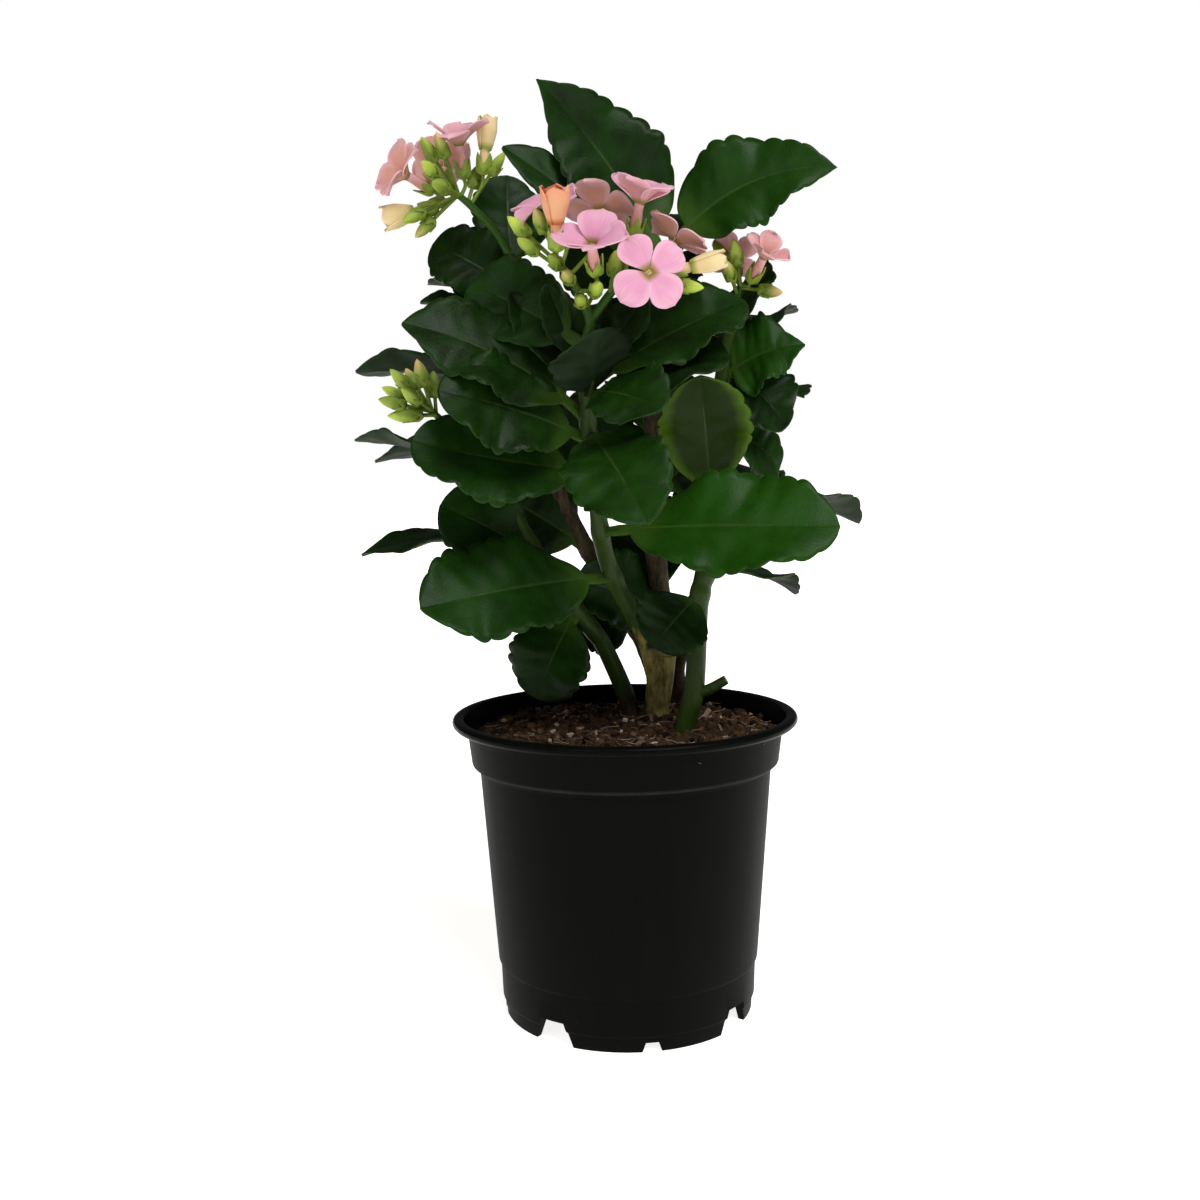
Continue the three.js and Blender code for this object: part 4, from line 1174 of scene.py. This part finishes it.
# How light the front leaves are, from 0 to 1, and the one that is still yellow green. These tones are partly
# the leaves' own and partly painted light on the lit front leaves. The others are dark, partly painted shade
# on the leaves behind.
LEAF_TONES_AND_PAINTED_LIGHT = {
    ("stem_a_front", 0): 0.5,
    ("stem_a_front", 1): 0.95,
    ("stem_a_front", 3): 0.45,
    ("stem_b_middle", 0): 0.25,
    ("stem_b_middle", 1): 0.7,
    ("stem_d_right", 0): 0.5,
    ("stem_d_right", 3): 0.75,
}
LEAF_YOUTH = {("stem_d_right", 0): 1.0}
rng = random.Random(11)
for stem_name, stem in STEMS.items():
    blades, ribs = [], []
    for number, leaf in enumerate(stem["leaves"]):
        # Each leaf's tone: the listed ones are partly painted light, and the rest get a low random tone that
        # is partly painted shade.
        tone = LEAF_TONES_AND_PAINTED_LIGHT.get((stem_name, number), rng.uniform(0.0, 0.38))
        youth = LEAF_YOUTH.get((stem_name, number), 0.0)
        blades.append(marked(blade_of(stem["path"], leaf, number), tone=tone, youth=youth))
        ribs.append(marked(midrib_of(stem["path"], leaf), tone=tone, youth=youth))
    blade = joined("blades", blades)
    for material in (leaf_face, leaf_back, leaf_flesh):
        blade.data.materials.append(material)
    applied(
        blade,
        "SOLIDIFY",
        thickness=LEAF_THICKNESS * MM,
        offset=0,
        vertex_group="body",
        material_offset=1,
        material_offset_rim=0,
        use_quality_normals=True,
    )
    rods = joined("midribs", ribs)
    rods.data.materials.append(leaf_flesh)
    leaves = joined(stem_name.replace("stem", "leaves"), [blade, rods])
    bpy.ops.object.shade_smooth()
    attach(leaves, "root")
    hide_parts(stem_name)


# The flower heads: forked green stalks that end in short thin ones, each with either a calyx of four
# sepals under an open flower or a closed bud, yellow green and paler or peach at the tip.
HEADS = {
    "head_centre": {
        "stem": "stem_a_front",
        "stalks": [
            [
                (-9, -20, 218, 1.6),
                (-13, -22, 227, 1.3),
                (-17, -24, 233, 1.1),
            ],
            [
                (-9, -20, 217, 1.4),
                (-3, -21, 225, 1.3),
                (2, -22, 230, 1.1),
            ],
        ],
        "blooms": [
            dict(name="corolla_front", hub=(2, -22, 229), at=(8, -38, 229), faces=(1, -9, 2),
                opens=80, spin=0),
            dict(name="corolla_middle", hub=(-12, -22, 226), at=(-8, -42, 236), faces=(-1, -7, 7),
                opens=56, spin=25),
            dict(name="corolla_left", hub=(-17, -24, 233), at=(-21, -25, 250), faces=(-4, -4, 8),
                opens=70, spin=0),
            dict(name="corolla_orange", hub=(-17, -24, 233), at=(-18, -40, 245), faces=(0, -3, 9),
                opens=16, spin=45),
            dict(name="corolla_rear", hub=(-15, -23, 230), at=(-5, -15, 250), faces=(2, 5, 8),
                opens=70, spin=20),
            dict(name="corolla_top", hub=(1, -22, 229), at=(6, -28, 250), faces=(2, -3, 9),
                opens=46, spin=10),
            dict(name="corolla_right", hub=(2, -22, 229), at=(16, -22, 240), faces=(5, 1, 8),
                opens=66, spin=0),
            dict(name="corolla_cream", hub=(2, -22, 229), at=(23, -30, 232), faces=(9, -1, 2),
                opens=6, spin=45),
        ],
        "buds": [
            dict(hub=(-17, -24, 233), tip=(-32, -33, 246)),
            dict(hub=(-17, -24, 233), tip=(-24, -39, 247)),
            dict(hub=(-17, -24, 232), tip=(-29, -38, 239)),
            dict(hub=(-15, -23, 230), tip=(-20, -40, 234)),
            dict(hub=(-12, -22, 226), tip=(-16, -42, 229)),
            dict(hub=(-10, -21, 221), tip=(-6, -41, 226)),
            dict(hub=(-10, -21, 221), tip=(-12, -40, 222)),
            dict(hub=(-3, -21, 225), tip=(-1, -33, 236)),
            dict(hub=(2, -22, 229), tip=(24, -33, 225)),
            dict(hub=(1, -22, 229), tip=(2, -8, 243)),
        ],
    },
    "head_upper_left": {
        "stem": "stem_e_left",
        "stalks": [
            [
                (-39, 16, 250, 1.3),
                (-46, 12, 257, 1.2),
                (-51, 9, 261, 1),
            ],
        ],
        "blooms": [
            dict(name="corolla_upper_left", hub=(-51, 9, 261), at=(-65, 3, 265), faces=(-8, -6, 4),
                opens=46, spin=10),
            dict(name="corolla_upper_front", hub=(-49, 10, 260), at=(-49, 8, 275), faces=(-1, -2, 9),
                opens=47, spin=35),
            dict(name="corolla_upper_cream", hub=(-46, 12, 258), at=(-41, 12, 277), faces=(1, 0, 9),
                opens=8, spin=45),
            dict(name="corolla_lower_cream", hub=(-51, 9, 260), at=(-66, 6, 254), faces=(-9, -1, -2),
                opens=14, spin=45),
            dict(name="corolla_upper_back", hub=(-48, 11, 259), at=(-56, 24, 271), faces=(-2, 6, 6),
                opens=52, spin=20),
        ],
        "buds": [
            dict(hub=(-51, 9, 261), tip=(-59, -8, 267)),
            dict(hub=(-51, 9, 261), tip=(-60, 0, 276)),
            dict(hub=(-50, 9, 261), tip=(-55, -2, 277)),
            dict(hub=(-46, 12, 258), tip=(-35, 13, 274)),
            dict(hub=(-50, 9, 260), tip=(-66, -3, 250)),
            dict(hub=(-50, 9, 260), tip=(-63, 2, 246)),
            dict(hub=(-49, 10, 260), tip=(-56, -7, 261)),
            dict(hub=(-47, 11, 258), tip=(-44, 18, 271)),
            dict(hub=(-49, 10, 260), tip=(-62, 21, 259)),
        ],
    },
    "head_left": {
        "stem": "stem_c_left",
        "stalks": [
            [
                (-53, -4, 187, 1.2),
                (-58, -7, 192, 1),
            ],
        ],
        "blooms": [],
        "buds": [
            dict(hub=(-58, -7, 192), tip=(-70, -12, 205)),
            dict(hub=(-58, -7, 192), tip=(-62, -10, 208)),
            dict(hub=(-58, -7, 192), tip=(-74, -11, 196)),
            dict(hub=(-58, -7, 192), tip=(-74, -3, 200)),
            dict(hub=(-57, -7, 191), tip=(-72, -7, 191)),
            dict(hub=(-57, -7, 191), tip=(-68, -15, 191)),
            dict(hub=(-57, -6, 191), tip=(-58, -2, 205)),
            dict(hub=(-58, -7, 192), tip=(-66, -17, 199)),
            dict(hub=(-58, -7, 192), tip=(-67, 1, 206)),
        ],
    },
    "head_right": {
        "stem": "stem_d_right",
        "stalks": [
            [
                (38, 10, 227, 1.2),
                (39, 9, 231, 1),
            ],
        ],
        "blooms": [
            dict(name="corolla_far_right", hub=(39, 9, 231), at=(45, -1, 238), faces=(3, -6, 6),
                opens=46, spin=30),
            dict(name="corolla_far_back", hub=(39, 9, 231), at=(38, 23, 241), faces=(0, 7, 6),
                opens=70, spin=10),
        ],
        "buds": [
            dict(hub=(39, 9, 230), tip=(36, 1, 244)),
            dict(hub=(38, 10, 228), tip=(33, -2, 237)),
            dict(hub=(39, 9, 230), tip=(51, -1, 227)),
            dict(hub=(39, 9, 230), tip=(31, 16, 246)),
        ],
    },
}
BUD_LENGTH = 9
TUBE_LENGTH = 10.5
THIN_STALK = 0.6
SEPAL_THICKNESS = 0.45


def turn_to(direction, spin):
    """The turn that takes +Z to the way a flower or bud looks, after a spin about its own axis."""
    lean = Vector((0, 0, 1)).rotation_difference(direction.normalized())
    return lean @ Quaternion((0, 0, 1), math.radians(spin))


def sepal_cup(foot, turn, length, width, valley, flare):
    """A calyx: a little cup that splits into four pointed sepals."""

    def place(across, along):
        angle = 2 * math.pi * across
        lobe = max(1 - abs(math.remainder(angle, math.pi / 2)) / (math.pi / 4), 0)
        top = valley + (length - valley) * lobe**1.15
        height = top * along
        radius = lerp(THIN_STALK, width, min(along / 0.4, 1) ** 0.6)
        radius += flare * max(along - 0.5, 0) * lobe * 2
        radius *= 1 - 0.1 * (1 - lobe) * along
        return foot + turn @ Vector((radius * math.cos(angle), radius * math.sin(angle), height))

    cup = formed("calyx", 40, 8, place, closed=False)
    return applied(cup, "SOLIDIFY", thickness=SEPAL_THICKNESS * MM, offset=-1)


def bud_body(foot, turn, length, fatness):
    """A closed bud: a spindle with four soft, slightly twisted ridges."""

    def place(across, along):
        angle = 2 * math.pi * across
        swell = math.sin(math.pi * along**0.8) if 0 < along < 1 else 0
        radius = fatness * swell**0.72 * (1 + 0.06 * math.cos(4 * angle - 4 * along))
        return foot + turn @ Vector((radius * math.cos(angle), radius * math.sin(angle), length * along))

    return formed("bud", 20, 14, place)


def thin_stalk(hub, foot, direction):
    """The thin stalk of one bud or flower, which bends into its direction."""
    bow = foot - direction * 0.35 * (foot - hub).length
    path = [(*hub, THIN_STALK * 1.1), (*bow, THIN_STALK), (*foot, THIN_STALK)]
    return tube("thin_stalk", 8, 8, path)


# Sepals, buds and flower stalks: soft yellow green flesh with a satin skin, deeper green at the foot of
# each part; the ripest buds turn cream and peach at the tip.
bud_skin, tree, shader, place = begun("bud_and_sepal_skin")
own_ripe = node(tree, "ShaderNodeAttribute", attribute_name="ripe")
own_blush = node(tree, "ShaderNodeAttribute", attribute_name="blush")
mottle = node(
    tree,
    "ShaderNodeTexNoise",
    {"Vector": place.outputs["Object"], "Scale": 500.0, "Detail": 5.0, "Roughness": 0.6},
)
ripening = node(
    tree,
    "ShaderNodeMath",
    {0: mottle.outputs["Fac"], 1: 0.5, 2: own_ripe.outputs["Fac"]},
    operation="MULTIPLY_ADD",
)
share = node(
    tree, "ShaderNodeMapRange", {"Value": ripening.outputs[0], "From Min": 0.2, "From Max": 1.2}
)
greens = node(
    tree,
    "ShaderNodeMix",
    {0: share.outputs[0], 6: linear("#2c4e0e"), 7: linear("#b2c650")},
    data_type="RGBA",
)
blushed = node(
    tree,
    "ShaderNodeMix",
    {0: own_blush.outputs["Fac"], 6: greens.outputs[2], 7: linear("#e9b78f")},
    data_type="RGBA",
)
tree.links.new(blushed.outputs[2], shader.inputs["Base Color"])
relief = node(
    tree,
    "ShaderNodeBump",
    {"Strength": 0.3, "Distance": 0.0002, "Height": mottle.outputs["Fac"]},
)
tree.links.new(relief.outputs[0], shader.inputs["Normal"])
shader.inputs["Roughness"].default_value = 0.45
shader.inputs["IOR"].default_value = 1.4
shader.inputs["Specular IOR Level"].default_value = 0.35
shader.inputs["Subsurface Weight"].default_value = 0.12
shader.inputs["Subsurface Radius"].default_value = (0.6, 1.0, 0.3)
shader.inputs["Subsurface Scale"].default_value = 0.001

rng = random.Random(5)
for head_name, head in HEADS.items():
    below, top = STEMS[head["stem"]]["path"][-2:]
    upwards = (Vector(top[:3]) - Vector(below[:3])).normalized()
    seat = (*(Vector(top[:3]) + upwards * 0.75), 0.8 * top[3])
    parts = []
    for number, path in enumerate(head["stalks"]):
        full = [seat, *path] if number == 0 else path
        # The forked stalks are made a deeper green than the rest: painted shade from the leaves round them.
        parts.append(marked(tube("stalk", 14, 8 * len(full), full), ripe=-0.1, blush=0.0))
    for bloom in head["blooms"]:
        direction = Vector(bloom["faces"]).normalized()
        foot = Vector(bloom["at"]) - direction * TUBE_LENGTH
        turn = turn_to(direction, bloom["spin"])
        parts.append(marked(thin_stalk(Vector(bloom["hub"]), foot, direction), ripe=0.25, blush=0.0))
        cup = sepal_cup(foot, turn, 6.5, 2.6, 3, 0.5)
        parts.append(marked(cup, ripe=rng.uniform(0.3, 0.5), blush=0.0))
    for number, bud in enumerate(head["buds"]):
        hub, tip = Vector(bud["hub"]), Vector(bud["tip"])
        direction = (tip - hub).normalized()
        foot = tip - direction * BUD_LENGTH
        turn = turn_to(direction, 65 * number)
        ripe, blush = rng.uniform(0.45, 1), rng.choice((0, 0, 0, 0.5, 0.8))
        body = bud_body(foot, turn, BUD_LENGTH, rng.uniform(1.8, 2.05))

        def ripe_at(spot, foot=foot, direction=direction, ripe=ripe):
            return ripe * min(max((spot - foot).dot(direction) / BUD_LENGTH + 0.2, 0), 1)

        def blush_at(spot, foot=foot, direction=direction, blush=blush):
            return blush * min(max((spot - foot).dot(direction) / BUD_LENGTH * 2 - 1, 0), 1)

        parts.append(marked(body, ripe=ripe_at, blush=blush_at))
        parts.append(marked(sepal_cup(foot, turn, 4.4, 2.2, 1.6, 0.2), ripe=0.35, blush=0.0))
        parts.append(marked(thin_stalk(hub, foot, direction), ripe=0.25, blush=0.0))
    spray = joined(head_name.replace("head", "spray"), parts)
    bpy.ops.object.shade_smooth_by_angle(angle=math.radians(55))
    spray.data.materials.append(bud_skin)
    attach(spray, "root")
    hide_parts(head_name)


# The flowers: each a narrow tube with four broad petals round a tiny throat with its stamens; the
# youngest stand half open as a furled cup. Pink and thin, paler at the edges and duller on the back.
PETAL_LENGTH = 11
PETAL_WIDTH = 11
PETAL_THICKNESS = 0.4
# A flower that opens by fewer degrees than this is still a furled cup.
OPEN_FROM = 20
# The two small flowers of the right head have begun to wither.
SHRUNK = {"corolla_far_right": 0.72, "corolla_far_back": 0.8}


def petal_width(share):
    """A petal's width at a share of its length: narrow at the throat, round at the end."""
    if share < 0.62:
        return lerp(0.16, 1, math.sin(math.pi / 2 * share / 0.62) ** 1.15)
    return max(1 - ((share - 0.62) / 0.38) ** 2.1, 0) ** 0.62


def petals_of(bloom, petal_rng):
    """The four spread petals of an open flower."""
    turn = turn_to(Vector(bloom["faces"]), bloom["spin"] + 45)
    size = SHRUNK.get(bloom["name"], 1)
    petals = []
    for quarter in range(4):
        own = Quaternion((0, 0, 1), math.radians(90 * quarter + petal_rng.uniform(-9, 9)))
        angle = math.radians(bloom["opens"] + petal_rng.uniform(-10, 8))
        curl, twist = math.radians(petal_rng.uniform(6, 46)), petal_rng.uniform(-0.12, 0.24)
        phase, broad = petal_rng.uniform(0, 6), petal_rng.uniform(0.88, 1.06)

        def place(across, along):
            t = 1 - 2 * across
            width = petal_width(along)
            lean = angle + curl * (along - 0.5)
            sideways = t * width * broad * size * PETAL_WIDTH / 2
            lift = 0.75 * width * abs(t) ** 1.6 + twist * sideways * along
            lift += 0.6 * math.sin(4 * along + 2.6 * t + phase) * along
            out = 0.9 + math.sin(lean) * size * PETAL_LENGTH * along
            up = math.cos(lean) * size * PETAL_LENGTH * along
            spot = Vector((out - math.cos(lean) * lift, sideways, up + math.sin(lean) * lift))
            return Vector(bloom["at"]) + turn @ (own @ spot)

        petals.append(formed("petal", 12, 14, place, closed=False))
    return petals


def furled_of(bloom, petal_rng):
    """The four overlapping lobes of a half-open flower."""
    turn = turn_to(Vector(bloom["faces"]), bloom["spin"] + 45)
    spread = math.tan(math.radians(bloom["opens"])) * PETAL_LENGTH
    widest = 2.15 + 0.5 * spread
    lobes = []
    for quarter in range(4):
        own = Quaternion((0, 0, 1), math.radians(90 * quarter + petal_rng.uniform(-5, 5)))

        def place(across, along):
            t = 1 - 2 * across
            past = max(along - 0.45, 0) / 0.55
            angle = t * math.radians(62) * math.sqrt(max(1 - past**2, 0))
            shut = (1 - min(bloom["opens"] / 12, 1)) * past
            radius = lerp(1.5, widest, min(along / 0.6, 1) ** 0.8) * (1 - 0.75 * shut**1.4) + 0.35 * t
            height = -2.5 + 0.93 * PETAL_LENGTH * along
            spot = Vector((radius * math.cos(angle), radius * math.sin(angle), height))
            return Vector(bloom["at"]) + turn @ (own @ spot)

        lobes.append(formed("lobe", 10, 14, place, closed=False))
    return lobes


def flower_tube(bloom):
    """The tube from inside the calyx up to the throat."""
    at, direction = Vector(bloom["at"]), Vector(bloom["faces"]).normalized()
    path = [(*(at + direction * z), r) for z, r in ((-8.2, 1.7), (-5, 1.65), (-2, 1.4), (-0.4, 1.45))]
    return tube("tube", 16, 12, path)


def stamens_of(bloom):
    """The ring of tiny anthers in the throat."""
    turn = turn_to(Vector(bloom["faces"]), bloom["spin"])
    anthers = []
    for k in range(4):
        bpy.ops.mesh.primitive_ico_sphere_add(subdivisions=1, radius=0.32 * MM)
        anther = bpy.context.object
        around = math.radians(90 * k)
        reach = Vector((0.55 * math.cos(around), 0.55 * math.sin(around), 0.15))
        anther.data.transform(Matrix.Translation((Vector(bloom["at"]) + turn @ reach) * MM))
        anthers.append(anther)
    return anthers


def petal_skin(name, face, back, faded, edge, throat):
    """A petal finish: thin, matt and faintly veined, with its own colours; "faded" is that of an old one."""
    made = []
    for side, ground in (("face", face), ("back", back)):
        material, tree, shader, place = begun(f"{name}_petal_{side}")
        on_petal = node(tree, "ShaderNodeSeparateXYZ", {0: place.outputs["UV"]})
        own_fade = node(tree, "ShaderNodeAttribute", attribute_name="fade")
        # Fine veins that run out from the throat, about 0.5 mm apart.
        stretch = node(
            tree, "ShaderNodeMapping", {"Vector": place.outputs["UV"], "Scale": (18.0, 1.6, 1.0)}
        )
        veins = node(
            tree,
            "ShaderNodeTexNoise",
            {"Vector": stretch.outputs[0], "Scale": 1.0, "Detail": 3.0, "Roughness": 0.5},
        )
        dusky = node(
            tree,
            "ShaderNodeMix",
            {0: own_fade.outputs["Fac"], 6: linear(ground), 7: linear(faded)},
            data_type="RGBA",
        )
        aside = node(tree, "ShaderNodeMath", {0: on_petal.outputs["X"], 1: 0.5}, operation="SUBTRACT")
        from_middle = node(tree, "ShaderNodeMath", {0: aside.outputs[0]}, operation="ABSOLUTE")
        outwards = node(
            tree,
            "ShaderNodeMath",
            {0: from_middle.outputs[0], 1: 2.0},
            operation="MULTIPLY",
        )
        furthest = node(
            tree,
            "ShaderNodeMath",
            {0: outwards.outputs[0], 1: on_petal.outputs["Y"]},
            operation="MAXIMUM",
        )
        to_edge = node(
            tree,
            "ShaderNodeMapRange",
            {"Value": furthest.outputs[0], "From Min": 0.55, "From Max": 1.0, "To Max": 0.6},
        )
        edged = node(
            tree,
            "ShaderNodeMix",
            {0: to_edge.outputs[0], 6: dusky.outputs[2], 7: linear(edge)},
            data_type="RGBA",
        )
        vein_share = node(
            tree,
            "ShaderNodeMapRange",
            {"Value": veins.outputs["Fac"], "From Min": 0.45, "From Max": 0.75, "To Max": 0.5},
        )
        veined = node(
            tree,
            "ShaderNodeMix",
            {0: vein_share.outputs[0], 6: edged.outputs[2], 7: linear(back)},
            data_type="RGBA",
        )
        to_throat = node(
            tree,
            "ShaderNodeMapRange",
            {"Value": on_petal.outputs["Y"], "From Min": 0.2, "From Max": 0.05},
        )
        throated = node(
            tree,
            "ShaderNodeMix",
            {0: to_throat.outputs[0], 6: veined.outputs[2], 7: linear(throat)},
            data_type="RGBA",
        )
        tree.links.new(throated.outputs[2], shader.inputs["Base Color"])
        relief = node(
            tree,
            "ShaderNodeBump",
            {"Strength": 0.3, "Distance": 0.0002, "Height": veins.outputs["Fac"]},
        )
        tree.links.new(relief.outputs[0], shader.inputs["Normal"])
        shader.inputs["Roughness"].default_value = 0.6
        shader.inputs["IOR"].default_value = 1.38
        shader.inputs["Specular IOR Level"].default_value = 0.25
        shader.inputs["Subsurface Weight"].default_value = 0.15
        shader.inputs["Subsurface Radius"].default_value = (1.0, 0.5, 0.6)
        shader.inputs["Subsurface Scale"].default_value = 0.001
        made.append(material)
    return made


# Petal colours: face, back, faded, edge and throat.
FINISHES = {
    "pink": petal_skin("pink", "#dd9dbb", "#cd8f98", "#d29a80", "#edc2d2", "#8d7a35"),
    "cream": petal_skin("cream", "#ead9a0", "#e6cf98", "#e3c795", "#f3dcb4", "#9ba446"),
    "orange": petal_skin("orange", "#dc3524", "#dfae86", "#dda078", "#e58a66", "#b5703a"),
}
# How far each pink flower has faded to a dull salmon.
FADING = {
    "corolla_front": 0.0,
    "corolla_middle": 0.0,
    "corolla_left": 0.1,
    "corolla_rear": 0.75,
    "corolla_top": 0.2,
    "corolla_right": 0.85,
    "corolla_upper_left": 0.9,
    "corolla_upper_front": 0.5,
    "corolla_upper_back": 0.9,
    "corolla_far_right": 0.75,
    "corolla_far_back": 0.5,
}
rng = random.Random(3)
for head in HEADS.values():
    for bloom in head["blooms"]:
        finish = next((word for word in ("orange", "cream") if word in bloom["name"]), "pink")
        is_open = bloom["opens"] >= OPEN_FROM
        sheets = petals_of(bloom, rng) if is_open else furled_of(bloom, rng)
        fade = FADING.get(bloom["name"], 0.3)
        petals = joined("petals", [marked(sheet, fade=fade) for sheet in sheets])
        face, back = FINISHES[finish]
        petals.data.materials.append(face)
        petals.data.materials.append(back)
        applied(
            petals,
            "SOLIDIFY",
            thickness=PETAL_THICKNESS * MM,
            offset=-1,
            material_offset=1,
            material_offset_rim=1,
            use_quality_normals=True,
        )
        rest = [marked(flower_tube(bloom), fade=0.6)]
        rest[0].data.materials.append(back)
        if is_open:
            for anther in stamens_of(bloom):
                anther.data.materials.append(bud_skin)
                rest.append(marked(anther, ripe=0.9, blush=0.3, fade=0.0))
        flower = joined(bloom["name"].replace("corolla", "petals"), [petals, *rest])
        bpy.ops.object.shade_smooth_by_angle(angle=math.radians(60))
        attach(flower, "root")
        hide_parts(bloom["name"])

low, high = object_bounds()
